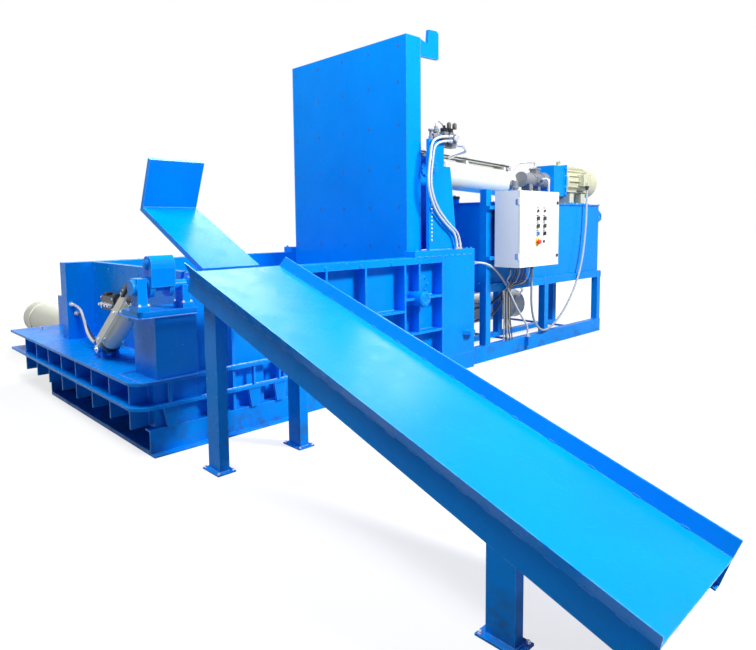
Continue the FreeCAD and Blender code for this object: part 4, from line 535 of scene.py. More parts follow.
bm = bmesh.new()
for name, (length, diameter, points) in hose_routes.items():
    if name == "cable_motor":
        continue
    radius = diameter / 2
    for end, inner in ((points[0], points[1]), (points[-1], points[-2])):
        axis = Vector(end) - Vector(inner)
        turned(bm, end, axis, [
            (-0.070, radius * 1.02), (-0.069, radius * 1.22), (-0.060, radius * 1.26), (-0.058, radius * 1.14),
            (-0.053, radius * 1.14), (-0.051, radius * 1.26), (-0.044, radius * 1.26), (-0.042, radius * 1.14),
            (-0.037, radius * 1.14), (-0.035, radius * 1.26), (-0.028, radius * 1.24), (-0.026, radius * 0.9),
            (0.0, radius * 0.9)])
        hexagon(bm, Vector(end) - axis.normalized() * 0.024, axis, 0.040, 0.021)
        turned(bm, end, axis, [(-0.004, 0.024), (0.0, 0.024)], 20)
shown("hose_fittings", bm, steel)
bm = bmesh.new()
for end, inner in ((0, 1), (-1, -2)):
    at = Vector(hose_routes["cable_motor"][2][end])
    axis = at - Vector(hose_routes["cable_motor"][2][inner])
    turned(bm, at, axis, [
        (-0.058, 0.0155), (-0.056, 0.017), (-0.040, 0.0195), (-0.026, 0.022), (-0.024, 0.025), (-0.022, 0.026),
        (0.0, 0.026)])
    hexagon(bm, at - axis.normalized() * 0.020, axis, 0.056, 0.014)
shown("cable_glands", bm, paints["black_plastic"])

# ---------------------------------------------------------------- press box fastenings
# Ribs and rim bar are fillet welded to the wall plates; caps close the rim bar's plug bolts.
# The round guide boss on the front and the lid's hinge bores have bolted cover discs.
rib_lefts = (-1.0332, -0.5695, -0.1109, 0.3503, 0.8694, 1.430)
bm = bmesh.new()
for side in (-1, 1):
    for left in rib_lefts:
        for edge in (left - 0.002, left + 0.022):
            low = 0.53 if side < 0 and left < -0.4 else 0.20
            if side > 0 and left < -0.9:
                continue
            plate = -1.045 if side < 0 and left < -0.75 else side * 0.980
            weld(bm, (edge, plate + side * 0.002, low), (edge, plate + side * 0.002, 1.180), 0.006)
        for edge in (left - 0.002, left + 0.022):
            weld(bm, (edge, side * 1.00, 1.184), (edge, side * 1.094, 1.184), 0.005)
for left, right, level in (
    (0.3703, 0.8694, 0.74), (0.8894, 1.430, 0.50), (-0.0909, 0.3503, 0.50), (0.8894, 1.430, 0.85),
):
    for height in (level, level - 0.020):
        weld(bm, (left, -0.982, height), (right, -0.982, height), 0.006)
weld(bm, (1.4505, -1.099, 0.20), (1.4505, -1.099, 1.24), 0.005)
weld(bm, (1.4505, 1.099, 0.20), (1.4505, 1.099, 1.24), 0.005)
shown("box_welds", bm, bead_paint)
bm = bmesh.new()
for x in (-0.108, 0.298, 0.695, 1.090):
    for side in (-1, 1):
        turned(bm, (x, side * 1.1, 1.207), (0, side, 0), [
            (-0.001, 0.020), (0.003, 0.0195), (0.006, 0.017), (0.007, 0.0)], 20)
for x in (-1.033, -0.569, -0.111, 0.350, 0.869):
    for side in (-1, 1):
        turned(bm, (x + 0.2, side * 1.02, 1.25), (0, 0, 1), [(-0.001, 0.016), (0.002, 0.0155), (0.003, 0.0)], 16)
shown("rim_plugs", bm, blue)
# round guide boss: faced cover disc with six cap bolts
bm = bmesh.new()
boss = Vector((1.0861, -1.175, 0.840))
turned(bm, boss, (0, -1, 0), [
    (-0.001, 0.070), (0.006, 0.069), (0.009, 0.064), (0.009, 0.036), (0.004, 0.033), (0.004, 0.0)], 40)
bolt_ring(bm, boss + Vector((0, -0.009, 0)), (0, -1, 0), 0.050, 6, 0.014, start=0.3, washer=False)
turned(bm, (1.0861, -0.982, 0.840), (0, -1, 0), [(0, 0.084), (0.006, 0.083), (0.014, 0.076), (0.014, 0.07)], 40)
shown("guide_boss_cover", bm, blue)
# caps over the lid's hinge bores
bm = bmesh.new()
for side in (-1, 1):
    hub = Vector((1.230, side * 1.0, 0.970))
    turned(bm, hub, (0, side, 0), [(-0.001, 0.088), (0.005, 0.087), (0.008, 0.082), (0.008, 0.0)], 40)
    bolt_ring(bm, hub + Vector((0, side * 0.008, 0)), (0, side, 0), 0.068, 6, 0.018)
shown("hinge_caps", bm, blue)

# ---------------------------------------------------------------- end wall and flanges
# Plug bolts hold the wear plates behind the end wall; the flanges are welded round the end block,
# with upright stiffeners on the end face and tapered gussets along the front.
bm = bmesh.new()
for y, z in (
    (0.873, 1.185), (0.546, 1.185), (0.22, 1.185), (-0.11, 1.185), (-0.44, 1.185), (0.71, 0.90), (0.05, 0.90),
):
    turned(bm, (-1.3201, y, z), (-1, 0, 0), [
        (-0.001, 0.021), (0.002, 0.0205), (0.003, 0.018), (0.001, 0.015), (0.001, 0.0)], 20)
for x, y, z in ((-1.7451, -0.852, 0.775), (-1.7451, -0.971, 0.954)):
    turned(bm, (x, y, z), (-1, 0, 0), [(-0.001, 0.014), (0.006, 0.013), (0.008, 0.009), (0.008, 0.0)], 16)
shown("end_wall_plugs", bm, blue)
bm = bmesh.new()
upper_seam, middle_seam = 0.526, 0.351
weld(bm, (-1.322, -0.93, upper_seam), (-1.322, 1.09, upper_seam), 0.007)
for z in (upper_seam, middle_seam):
    weld(bm, (-1.30, -1.0995, z), (-0.455, -1.0995, z), 0.006)
stiffener_run = 2.900
for step in range(8):
    near = -0.980 + step * stiffener_run / 8
    for low, high in ((0.185, 0.326), (0.352, 0.500)):
        weld(bm, (-1.642, near - 0.001, low), (-1.642, near - 0.001, high), 0.005)
        weld(bm, (-1.642, near + 0.017, low), (-1.642, near + 0.017, high), 0.005)
for share in (0.08, 0.36, 0.63, 0.82):
    left = -1.690 + share * 1.240
    weld(bm, (left + 0.045, -1.101, 0.355), (left + 0.045, -1.101, 0.500), 0.005)
    weld(bm, (left + 0.065, -1.101, 0.355), (left + 0.065, -1.101, 0.500), 0.005)
    weld(bm, (left + 0.002, -1.101, 0.322), (left + 0.026, -1.101, 0.19), 0.005)
    weld(bm, (left + 0.108, -1.101, 0.322), (left + 0.084, -1.101, 0.19), 0.005)
for x in (-1.746, -1.319):
    weld(bm, (x, -1.128, 0.527), (x, -0.752, 0.527), 0.006)
weld(bm, (-1.744, -1.131, 0.527), (-1.322, -1.131, 0.527), 0.006)
weld(bm, (-1.744, -0.749, 0.527), (-1.322, -0.749, 0.527), 0.006)
weld(bm, (-1.744, -1.131, 0.966), (-1.322, -1.131, 0.966), 0.005)
weld(bm, (-1.746, -1.125, 0.966), (-1.746, -0.755, 0.966), 0.005)
shown("end_welds", bm, bead_paint)
bm = bmesh.new()
for y in (-1.010, 1.850):
    bolt(bm, (-1.549, y, 0.525), (0, 0, 1), 0.024)
shown("flange_bolts", bm, steel)

# ---------------------------------------------------------------- lid fastenings
# Socket screws, painted over, hold the wear plates on the pressing face; their heads take a darker copy of the
# blue enamel as painted shade. The catch hook, the lugs of the rods and the seams of the box slab are fillet welded.
bm = bmesh.new()
for y in (-0.82, -0.39, 0.03, 0.45, 0.87):
    for z in (1.355, 1.755, 2.155, 2.575, 2.990, 3.345):
        turned(bm, (1.0799, y, z), (-1, 0, 0), [
            (-0.0010, 0.0185), (0.0012, 0.0180), (0.0020, 0.0160), (0.0020, 0.0095), (-0.004, 0.0085),
            (-0.004, 0.0)], 18)
# a darker copy of the blue enamel: painted shade on the screw heads
lid_screw_painted_shade = painted("lid_screw_painted_shade", (0.0, 0.13, 0.50), (0.0, 0.06, 0.26), 0.8, 0.2, 0.35)
shown("lid_screws", bm, lid_screw_painted_shade, "lid")
bm = bmesh.new()
for z in (3.258, 3.432):
    weld(bm, (1.292, -0.932, z), (1.292, -0.898, z), 0.006)
weld(bm, (1.292, -0.893, 3.27), (1.292, -0.893, 3.425), 0.006)
for side in (-1, 1):
    for hand in (-1, 1):
        for far in (0.093, 0.137):
            y = side * 0.55 + hand * far
            weld(bm, (1.292, y, 1.985), (1.292, y, 2.375), 0.007)
for z in (1.02, 3.435):
    weld(bm, (1.288, -0.925, z), (1.288, 0.925, z), 0.006)
for y in (-0.933, 0.933):
    weld(bm, (1.287, y, 1.10), (1.287, y, 3.42), 0.006)
shown("lid_welds", bm, bead_paint, "lid")

# ---------------------------------------------------------------- towers
# The brace plate is plug welded to the tower in a long row; bolted covers close the tie shaft's boss
# and the trunnion bearings, and the cheeks are welded to the housing's cap plate.
bm = bmesh.new()
for side in (-1, 1):
    face = side * 1.0401
    for step in range(24):
        turned(bm, (1.340, face, 1.415 + step * 0.0395), (0, side, 0), [
            (-0.002, 0.011), (0.002, 0.010), (0.004, 0.006), (0.004, 0.0)], 10)
bare_weld = painted("bare_weld", (0.66, 0.70, 0.72), (0.40, 0.44, 0.48), 0.3, 0.0, 0.35, metallic=0.6)
shown("tower_plug_welds", bm, bare_weld)
bm = bmesh.new()
trunnion = Vector((1.570, 0.550, 2.170))
for side in (-1, 1):
    hub = Vector((1.350, side * 1.065, 2.160))
    turned(bm, hub, (0, side, 0), [
        (-0.001, 0.046), (0.005, 0.045), (0.007, 0.042), (0.007, 0.020), (0.003, 0.018), (0.003, 0)], 32)
    bolt_ring(bm, hub + Vector((0, side * 0.007, 0)), (0, side, 0), 0.031, 4, 0.012, start=0.78, washer=False)
    for hand in (-1, 1):
        hub = Vector((trunnion.x, side * trunnion.y + hand * 0.2100, trunnion.z))
        turned(bm, hub, (0, hand, 0), [(-0.001, 0.090), (0.008, 0.089), (0.012, 0.084), (0.012, 0.0)], 40)
        bolt_ring(bm, hub + Vector((0, hand * 0.012, 0)), (0, hand, 0), 0.074, 6, 0.020)
shown("trunnion_covers", bm, blue)
bm = bmesh.new()
for side in (-1, 1):
    for y in (side * 1.039, side * 0.999):
        weld(bm, (1.305, y, 1.312), (1.745, y, 1.312), 0.007)
    for hand in (-1, 1):
        for out in (0.168, 0.212):
            y = side * trunnion.y + hand * out
            weld(bm, (1.395, y, 1.312), (1.755, y, 1.312), 0.007)
    # cap plate along the housing and its tacks
    stitches(bm, (1.03, side * 1.101, 1.252), (1.95, side * 1.101, 1.252), 9, 0.055, 0.006)
shown("tower_welds", bm, bead_paint)
bm = bmesh.new()
for x in (1.06, 1.85, 1.93):
    for y in (-1.085, 1.085):
        bolt(bm, (x, y, 1.310), (0, 0, 1), 0.024)
for y in (-0.9, -0.6, 0.6, 0.9):
    for z in (0.35, 0.75, 1.15):
        bolt(bm, (1.9751, y, z), (1, 0, 0), 0.030)
shown("housing_bolts", bm, blue)

# ---------------------------------------------------------------- lid cylinders
# Bolted gland ring and end cap on each barrel, ported blocks, bent supply pipes and their clamps,
# and a cast elbow with a check valve screwed to the side of the tail.
lid_tilt = math.radians(2.602)
lid_along = Vector((math.cos(lid_tilt), 0, -math.sin(lid_tilt)))
lid_out = Vector((math.sin(lid_tilt), 0, math.cos(lid_tilt)))
pipe_out = 0.199


def on_barrel(hand, along, across, out):
    """A point on a lid cylinder: along its axis from the trunnions, across it, and out from it."""
    centre = Vector((trunnion.x, hand * trunnion.y + across, trunnion.z))
    return centre + lid_along * along + lid_out * out


for cylinder, hand in (("front", -1), ("back", 1)):
    body = "lid_cylinder_" + cylinder
    bm = bmesh.new()
    for along, way in ((-0.095, -1), (1.810, 1)):
        face = on_barrel(hand, along, 0, 0)
        ring = 0.066 if way < 0 else 0.0
        turned(bm, face, lid_along * way, [
            (-0.001, 0.150), (0.008, 0.149), (0.011, 0.145), (0.011, ring + 0.002), (0.004, ring)], 40)
        for step in range(12):
            turn = step * math.tau / 12
            spoke = Vector((0, 0.128 * math.cos(turn), 0)) + lid_out * 0.128 * math.sin(turn)
            bolt(bm, face + lid_along * way * 0.011 + spoke, lid_along * way, 0.022)
    turned(bm, on_barrel(hand, 1.58, 0, 0), lid_along, [
        (0, 0.160), (0.006, 0.172), (0.054, 0.172), (0.060, 0.160)], 48)
    turned(bm, on_barrel(hand, -0.03, 0, 0), lid_along, [
        (0, 0.160), (0.004, 0.170), (0.036, 0.170), (0.040, 0.160)], 48)
    shown("lid_barrel_rings_" + cylinder, bm, beige, body)
    # port blocks and pipe nuts
    bm = bmesh.new()
    for across, along in ((-0.075, 1.690), (-0.020, 1.690), (0.035, 1.690), (-0.020, -0.055)):
        at = on_barrel(hand, along, across, 0.140)
        turned(bm, at, lid_out, [(0, 0.026), (0.034, 0.026), (0.038, 0.022), (0.040, 0.018)], 20)
    shown("lid_ports_" + cylinder, bm, iron, body)
    bm = bmesh.new()
    for across in (-0.075, -0.020, 0.035):
        for along in (1.62, 0.40, -0.045):
            hexagon(bm, on_barrel(hand, along, across, pipe_out), lid_along, 0.042, 0.034)
            turned(bm, on_barrel(hand, along + 0.034, across, pipe_out), lid_along, [
                (0, 0.0175), (0.016, 0.0175), (0.018, 0.015)], 20)
    for along in (0.12, 0.83, 1.60):
        slab(bm, (-0.020, -0.092, 0.0), (0.020, 0.052, 0.007), 0.002,
             Matrix.Translation(on_barrel(hand, along + 0.02, 0, 0.2165)) @ Matrix.Rotation(lid_tilt, 4, "Y"))
        for across in (-0.0475, 0.0075):
            bolt(bm, on_barrel(hand, along + 0.02, across, 0.2235), lid_out, 0.016)
    shown("pipe_clamps_" + cylinder, bm, steel, body)
    for index, across in enumerate((-0.1030, -0.0475, 0.0075, 0.0630)):
        pipe("pilot_line_%s_%d" % (cylinder, index), [
            on_barrel(hand, -0.060, across, 0.2005), on_barrel(hand, 1.700, across, 0.2005)],
            0.020, 0.04, paints["black_paint"], body)
    for index, across in enumerate((-0.075, -0.020, 0.035)):
        pipe("tail_bend_%s_%d" % (cylinder, index), [
            on_barrel(hand, 1.72, across, pipe_out), on_barrel(hand, 1.775 + 0.012 * index, across, pipe_out),
            on_barrel(hand, 1.795 + 0.012 * index, across, 0.150), on_barrel(hand, 1.80, across, 0.120)],
            0.028, 0.045, paints["zinc_pipe"], body)
    pipe("head_bend_" + cylinder, [
        on_barrel(hand, -0.050, -0.020, pipe_out), on_barrel(hand, -0.085, -0.020, pipe_out),
        on_barrel(hand, -0.086, -0.020, 0.150)], 0.026, 0.03, paints["zinc_pipe"], body)
    # dark elbow, flange and check valve below the tail
    bm = bmesh.new()
    port = on_barrel(hand, 1.70, hand * 0.160, -0.02)
    turned(bm, port, (0, hand, 0), [
        (-0.012, 0.052), (0.016, 0.052), (0.020, 0.048), (0.020, 0.032), (0.052, 0.032)], 28)
    bolt_ring(bm, port + Vector((0, hand * 0.018, 0)), (0, hand, 0), 0.042, 4, 0.014, start=0.4)
    turned(bm, port + Vector((0, hand * 0.052, 0.036)), (0, 0, -1), [
        (0, 0.0), (0, 0.028), (0.006, 0.034), (0.070, 0.034), (0.072, 0.044), (0.098, 0.044), (0.100, 0.034),
        (0.168, 0.034), (0.176, 0.026), (0.210, 0.026), (0.212, 0.0)], 28)
    hexagon(bm, port + Vector((0, hand * 0.052, -0.178)), (0, 0, -1), 0.060, 0.030)
    shown("tail_valve_" + cylinder, bm, iron, body)

# ---------------------------------------------------------------- lid valves on the front tower
# Two solenoid coils with their plugs, a gauge and steel unions on the cast manifold, two relief
# valves beside it, and bent pipes that run to the tank side.
bm = bmesh.new()
for near in (1.580, 1.670):
    at = Vector((near, -1.065, 2.558))
    turned(bm, at, (0, 0, 1), [
        (-0.002, 0.019), (0.002, 0.0225), (0.052, 0.0225), (0.056, 0.020), (0.060, 0.010), (0.064, 0.010),
        (0.066, 0.0)], 28)
    slab(bm, (near - 0.026, -1.028, 2.530), (near + 0.026, -0.968, 2.572), 0.004)
    slab(bm, (near - 0.012, -1.012, 2.572), (near + 0.012, -0.988, 2.596), 0.003)
shown("lid_coils", bm, paints["black_plastic"])
bm = bmesh.new()
for z in (2.470, 2.425):
    hexagon(bm, (1.5895, -1.085, z), (-1, 0, 0), 0.044, 0.016)
for x in (1.555, 1.700):
    turned(bm, (x, -1.041, 2.43), (0, -1, 0), [(-0.002, 0.020), (0.010, 0.020), (0.012, 0.017), (0.012, 0.0)], 24)
    hexagon(bm, (x, -1.053, 2.43), (0, -1, 0), 0.030, 0.012)
for y in (-1.020, -0.985):
    hexagon(bm, (1.7305, y, 2.41), (1, 0, 0), 0.040, 0.024)
    turned(bm, (1.7545, y, 2.41), (1, 0, 0), [(0, 0.016), (0.014, 0.016), (0.016, 0.013)], 20)
turned(bm, (1.625, -1.106, 2.450), (0, -1, 0), [
    (0, 0.012), (0.014, 0.012), (0.014, 0.034), (0.036, 0.034), (0.038, 0.031), (0.035, 0.029), (0.035, 0.0)], 32)
shown("lid_unions", bm, steel)
bm = bmesh.new()
turned(bm, (1.452, -1.0, 2.437), (0, 0, 1), [
    (-0.004, 0.030), (0.040, 0.030), (0.044, 0.024), (0.075, 0.024), (0.080, 0.034), (0.110, 0.034),
    (0.116, 0.022), (0.140, 0.018), (0.146, 0.0)], 28)
turned(bm, (1.370, -1.0, 2.437), (0, 0, 1), [
    (-0.004, 0.024), (0.030, 0.024), (0.036, 0.016), (0.080, 0.016), (0.086, 0.027), (0.104, 0.027),
    (0.108, 0.014), (0.116, 0.0)], 28)
slab(bm, (1.395, -1.022, 2.452), (1.525, -0.978, 2.500), 0.006)
shown("lid_relief_valves", bm, iron)
for index, y in enumerate((-1.020, -0.985)):
    pipe("manifold_pipe_%d" % index, [
        (1.765, y, 2.41), (1.86 + 0.05 * index, y, 2.41), (1.93 + 0.05 * index, y, 2.36),
        (1.95 + 0.05 * index, -0.82 + 0.04 * index, 2.33), (1.955 + 0.05 * index, -0.757 + 0.04 * index, 2.31)],
        0.026, 0.07, paints["zinc_pipe"])
pipe("valve_loop", [
    (1.452, -1.0, 2.56), (1.452, -1.0, 2.63), (1.500, -1.0, 2.63), (1.555, -1.0, 2.60), (1.580, -1.0, 2.590)],
    0.016, 0.04, paints["zinc_pipe"])

# ---------------------------------------------------------------- main and side cylinders
# Each big barrel is held by a ring of bolts in its flange and fed through a ported boss at either
# end. A steel pipe, held by clamps, joins the two bosses.
bm = bmesh.new()
main_axis, side_axis = 0.380, -1.010
bolt_ring(bm, (2.035, 0, main_axis), (1, 0, 0), 0.213, 12, 0.030, start=0.13)
bolt_ring(bm, (side_axis, 2.100, main_axis), (0, 1, 0), 0.222, 12, 0.030, start=0.13)
shown("cylinder_bolts", bm, blue)
bm = bmesh.new()
turned(bm, (4.365, 0, main_axis), (1, 0, 0), [(0, 0.196), (0.004, 0.209), (0.020, 0.209), (0.030, 0.19)], 56)
turned(bm, (side_axis, 3.830, main_axis), (0, 1, 0), [(0, 0.206), (0.004, 0.219), (0.020, 0.219), (0.030, 0.20)], 56)
ports = [((x, -0.150, 0.490), (0, -0.75, 0.66)) for x in (2.16, 4.22)]
ports += [((-0.855, y, 0.490), (0.75, 0, 0.66)) for y in (2.24, 3.70)]
for at, way in ports:
    turned(bm, at, way, [(-0.04, 0.044), (0.052, 0.044), (0.056, 0.040), (0.056, 0.0)], 28)
shown("barrel_bosses", bm, beige)
bm = bmesh.new()
for at, way in ports:
    hexagon(bm, Vector(at) + Vector(way).normalized() * 0.056, way, 0.062, 0.030)
shown("barrel_unions", bm, steel)
pipe("main_feed", [(2.16, -0.208, 0.541), (2.16, -0.290, 0.613), (2.30, -0.300, 0.660), (4.10, -0.300, 0.660),
                   (4.22, -0.290, 0.613), (4.22, -0.208, 0.541)], 0.034, 0.08, paints["zinc_pipe"])
pipe("side_feed", [(-0.798, 2.24, 0.541), (-0.725, 2.24, 0.607), (-0.700, 2.36, 0.620), (-0.700, 3.58, 0.620),
                   (-0.725, 3.70, 0.607), (-0.798, 3.70, 0.541)], 0.034, 0.08, paints["zinc_pipe"])
bm = bmesh.new()
for x in (2.60, 3.20, 3.80):
    slab(bm, (x - 0.020, -0.326, 0.634), (x + 0.020, -0.274, 0.686), 0.004)
    slab(bm, (x - 0.015, -0.300, 0.500), (x + 0.015, -0.140, 0.510), 0.002)
for y in (2.60, 3.00, 3.40):
    slab(bm, (-0.726, y - 0.020, 0.594), (-0.674, y + 0.020, 0.646), 0.004)
    slab(bm, (-0.850, y - 0.015, 0.540), (-0.720, y + 0.015, 0.600), 0.002)
shown("feed_clamps", bm, paints["black_plastic"])

# ---------------------------------------------------------------- turn-out drive
# A short cylinder on a base pin rocks a welded crank on the arm's shaft. Its barrel has a screwed
# gland, two steel pipes and a flat rail with a roller switch; a small valve feeds it.
turnout_lean = math.radians(54.417)
rod_way = Vector((0, -math.sin(turnout_lean), math.cos(turnout_lean)))
rod_up = Vector((0, math.cos(turnout_lean), math.sin(turnout_lean)))
base_pin = Vector((-1.572, -0.060, 0.600))
crank_hub = Vector((-1.572, -1.060, 1.175))


def on_turnout(across, out, along):
    """A point on the turn-out cylinder, measured from its base pin."""
    return base_pin + Vector((across, 0, 0)) + rod_up * out + rod_way * along


bm = bmesh.new()
turned(bm, on_turnout(0, 0, 0.760), rod_way, [
    (-0.010, 0.0770), (0.0, 0.0770), (0.001, 0.0760), (0.001, 0.0505), (0.014, 0.050), (0.018, 0.046),
    (0.018, 0.0295), (0.010, 0.029)], 48)
for step in range(8):
    turn = step * math.tau / 8
    spot = on_turnout(0.066 * math.cos(turn), 0.066 * math.sin(turn), 0.760)
    turned(bm, spot, rod_way, [
        (-0.001, 0.0075), (0.007, 0.0075), (0.008, 0.0065), (0.004, 0.004), (0.004, 0)], 12)
turned(bm, on_turnout(0, 0, 0.070), rod_way, [
    (-0.002, 0.074), (0.006, 0.0822), (0.050, 0.0822), (0.056, 0.0805)], 48)
shown("turnout_gland", bm, paints["black_paint"], "turnout_cylinder")
bm = bmesh.new()
for along in (0.142, 0.692):
    hexagon(bm, on_turnout(0, 0.110, along), rod_up, 0.040, 0.022)
    turned(bm, on_turnout(0, 0.132, along), rod_up, [(0, 0.016), (0.012, 0.016), (0.014, 0.013)], 20)
for along in (0.185, 0.605):
    bolt(bm, on_turnout(-0.1185, 0.0, along), (-1, 0, 0), 0.016)
shown("turnout_unions", bm, steel, "turnout_cylinder")
for name, start, finish, out in (
    ("turnout_pipe_rod", 0.692, 0.300, 0.172), ("turnout_pipe_base", 0.142, 0.215, 0.158),
):
    pipe(name, [
        on_turnout(0, 0.140, start), on_turnout(0, out, start),
        on_turnout(0.010, out, (start + finish) / 2), on_turnout(0.045, out - 0.02, finish)],
        0.018, 0.035, paints["zinc_pipe"], "turnout_cylinder")
bm = bmesh.new()
for end, out in ((0.300, 0.152), (0.215, 0.138)):
    hexagon(bm, on_turnout(0.045, out, end) + rod_way * 0.014, -rod_way, 0.032, 0.030)
    turned(bm, on_turnout(0.045, out, end) - rod_way * 0.016, -rod_way, [
        (0, 0.012), (0.026, 0.012), (0.028, 0.009)], 16)
shown("turnout_pipe_nuts", bm, steel, "turnout_cylinder")
# roller switch at the head of the flat rail
bm = bmesh.new()
rail_lie = Matrix.Translation(base_pin) @ Matrix.Rotation(turnout_lean, 4, "X")
slab(bm, (-0.148, -0.021, 0.856), (-0.120, 0.021, 0.954), 0.005, rail_lie)
slab(bm, (-0.142, -0.014, 0.954), (-0.126, 0.014, 0.972), 0.003, rail_lie)
turned(bm, rail_lie @ Vector((-0.143, 0, 0.992)), (1, 0, 0), [
    (0, 0.0), (0, 0.014), (0.012, 0.014), (0.012, 0)], 20)
shown("roller_switch", bm, paints["black_plastic"], "turnout_cylinder")
bm = bmesh.new()
slab(bm, (-0.139, -0.005, 0.960), (-0.131, 0.005, 1.000), 0.002, rail_lie)
for along in (0.880, 0.930):
    turned(bm, rail_lie @ Vector((-0.148, 0, along)), (-1, 0, 0), [
        (-0.001, 0.006), (0.003, 0.006), (0.004, 0.004), (0.004, 0)], 12)
shown("roller_switch_steel", bm, steel, "turnout_cylinder")
# pin heads on the base clevis and foot bolts of the bearings
bm = bmesh.new()
for way in (-1, 1):
    turned(bm, base_pin + Vector((way * 0.078, 0, 0)), (way, 0, 0), [
        (-0.002, 0.034), (0.010, 0.034), (0.013, 0.031), (0.013, 0.0)], 28)
    bolt(bm, base_pin + Vector((way * 0.091, 0, 0)), (way, 0, 0), 0.018)
for x in (-1.732, -1.670, -1.418, -1.360):
    for y in (-1.117, -0.990):
        bolt(bm, (x, y, 1.050), (0, 0, 1), 0.018)
shown("drive_bolts", bm, steel)
bm = bmesh.new()
for x, way in ((-1.7425, -1), (-1.360, 1)):
    turned(bm, (x, crank_hub.y, crank_hub.z), (way, 0, 0), [
        (-0.004, 0.060), (0.006, 0.058), (0.010, 0.054), (0.010, 0.038)], 36)
shown("bearing_rings", bm, blue)
crank_turn = math.radians(97)
crank_way = Vector((0, math.cos(crank_turn), math.sin(crank_turn)))
crank_face = Vector((0, math.sin(crank_turn), -math.cos(crank_turn)))
bm = bmesh.new()
for way in (-1, 1):
    turned(bm, crank_hub + Vector((way * 0.099, 0, 0)) + crank_way * 0.155, (way, 0, 0), [
        (-0.001, 0.026), (0.004, 0.026), (0.007, 0.023), (0.007, 0.0)], 28)
    turned(bm, crank_hub + Vector((way * 0.085, 0, 0)), (way, 0, 0), [
        (-0.002, 0.062), (0.008, 0.062), (0.012, 0.056), (0.012, 0.036)], 36)
shown("crank_covers", bm, blue, "arm")
bm = bmesh.new()
for along in (0.055, 0.115):
    for across in (-0.05, 0.05):
        skin = 0.0865 - 0.054 * (along - 0.01)
        bolt(bm, crank_hub + Vector((across, 0, 0)) + crank_way * along + crank_face * skin, crank_face, 0.020)
shown("crank_bolts", bm, steel, "arm")
# turn-out valve: coil caps, unions and the bolts through its body
bm = bmesh.new()
for y, way in ((0.110, -1), (0.490, 1)):
    turned(bm, (-1.380, y, 0.945), (0, way, 0), [
        (-0.001, 0.032), (0.010, 0.033), (0.014, 0.031), (0.016, 0.020), (0.024, 0.012), (0.026, 0)], 28)
slab(bm, (-1.408, 0.175, 0.972), (-1.352, 0.235, 1.004), 0.004)
slab(bm, (-1.408, 0.365, 0.972), (-1.352, 0.425, 1.004), 0.004)
shown("turnout_coils", bm, paints["black_plastic"])
bm = bmesh.new()
for y in (0.20, 0.27, 0.34, 0.40):
    hexagon(bm, (-1.4305, y, 0.905), (-1, 0, 0), 0.036, 0.022)
    turned(bm, (-1.4525, y, 0.905), (-1, 0, 0), [(0, 0.014), (0.014, 0.014), (0.016, 0.011)], 18)
for y in (0.175, 0.425):
    for z in (0.875, 0.965):
        turned(bm, (-1.4302, y, z), (-1, 0, 0), [
            (-0.001, 0.008), (0.007, 0.008), (0.008, 0.007), (0.003, 0.004), (0.003, 0)], 12)
shown("turnout_valve_unions", bm, steel)

# ---------------------------------------------------------------- turn-out arm
# Two thick plates in an L, raised beside the box: the lip is welded across the end of the arm, and
# the hinge lugs are welded under its root.
arm_lie = Matrix.Translation((0, crank_hub.y, crank_hub.z)) @ Matrix.Rotation(math.radians(25), 4, "X")
bm = bmesh.new()
weld(bm, arm_lie @ Vector((-1.246, 1.103, 0.112)), arm_lie @ Vector((-0.774, 1.103, 0.112)), 0.007)
for x in (-1.213, -1.037, -0.983, -0.807):
    weld(bm, arm_lie @ Vector((x, 0.012, 0.063)), arm_lie @ Vector((x, 0.070, 0.063)), 0.006)
shown("arm_welds", bm, bead_paint, "arm")

# ---------------------------------------------------------------- chute fastenings
# A plain plate chute on side channels: its rails, cross bearers and legs are stitch welded, and four
# foot plates are bolted down.
chute_lie = Matrix.Translation((-1.210, -1.500, 1.295)) @ Matrix.Rotation(math.radians(18.5), 4, "X")
chute_length = 3.140


def on_chute(across, along, rise):
    """A point on the chute, measured from the middle of its upper edge."""
    return chute_lie @ Vector((across, along, rise))


bm = bmesh.new()
for hand in (-1, 1):
    rail, channel, bearer = hand * 0.3455, hand * 0.350, hand * 0.334
    stitches(bm, on_chute(rail, -0.08, 0.002), on_chute(rail, -3.06, 0.002), 14, 0.035, 0.0045)
    stitches(bm, on_chute(channel, -0.05, -0.009), on_chute(channel, -3.09, -0.009), 22, 0.060, 0.0045)
    for share in (0.02, 0.34, 0.66, 0.97):
        for along in (-share * chute_length, -share * chute_length - 0.04):
            weld(bm, on_chute(bearer, along, -0.070), on_chute(bearer, along, -0.014), 0.005)
legs = ((-1.510, -1.440, -1.580, -1.720), (-0.870, -0.800, -1.580, -1.720),
        (-1.555, -1.503, -3.820, -3.955), (-0.917, -0.865, -3.820, -3.955))
for left, right, near, far in legs:
    for y in (near + 0.001, far - 0.001):
        weld(bm, (left, y, 0.011), (right, y, 0.011), 0.005)
    for x in (left - 0.001, right + 0.001):
        weld(bm, (x, near, 0.011), (x, far, 0.011), 0.005)
shown("chute_welds", bm, bead_paint)
bm = bmesh.new()
for left, right, near, far in legs:
    for x in (left - 0.016, right + 0.016):
        for y in (near + 0.014, far - 0.014):
            bolt(bm, (x, y, 0.010), (0, 0, 1), 0.015)
shown("foot_bolts", bm, steel)

# ---------------------------------------------------------------- motor and pump
# A ribbed electric motor on foot rails, with its terminal lid and fan grille, turns a cast piston
# pump through the bell housing. The pump has bolted flanges, unions and two bent steel pipes.
motor = Vector((4.205, -0.770, 2.130))


def on_motor(x, y, z):
    """A point measured from the middle of the motor's flange."""
    return motor + Vector((x, y, z))


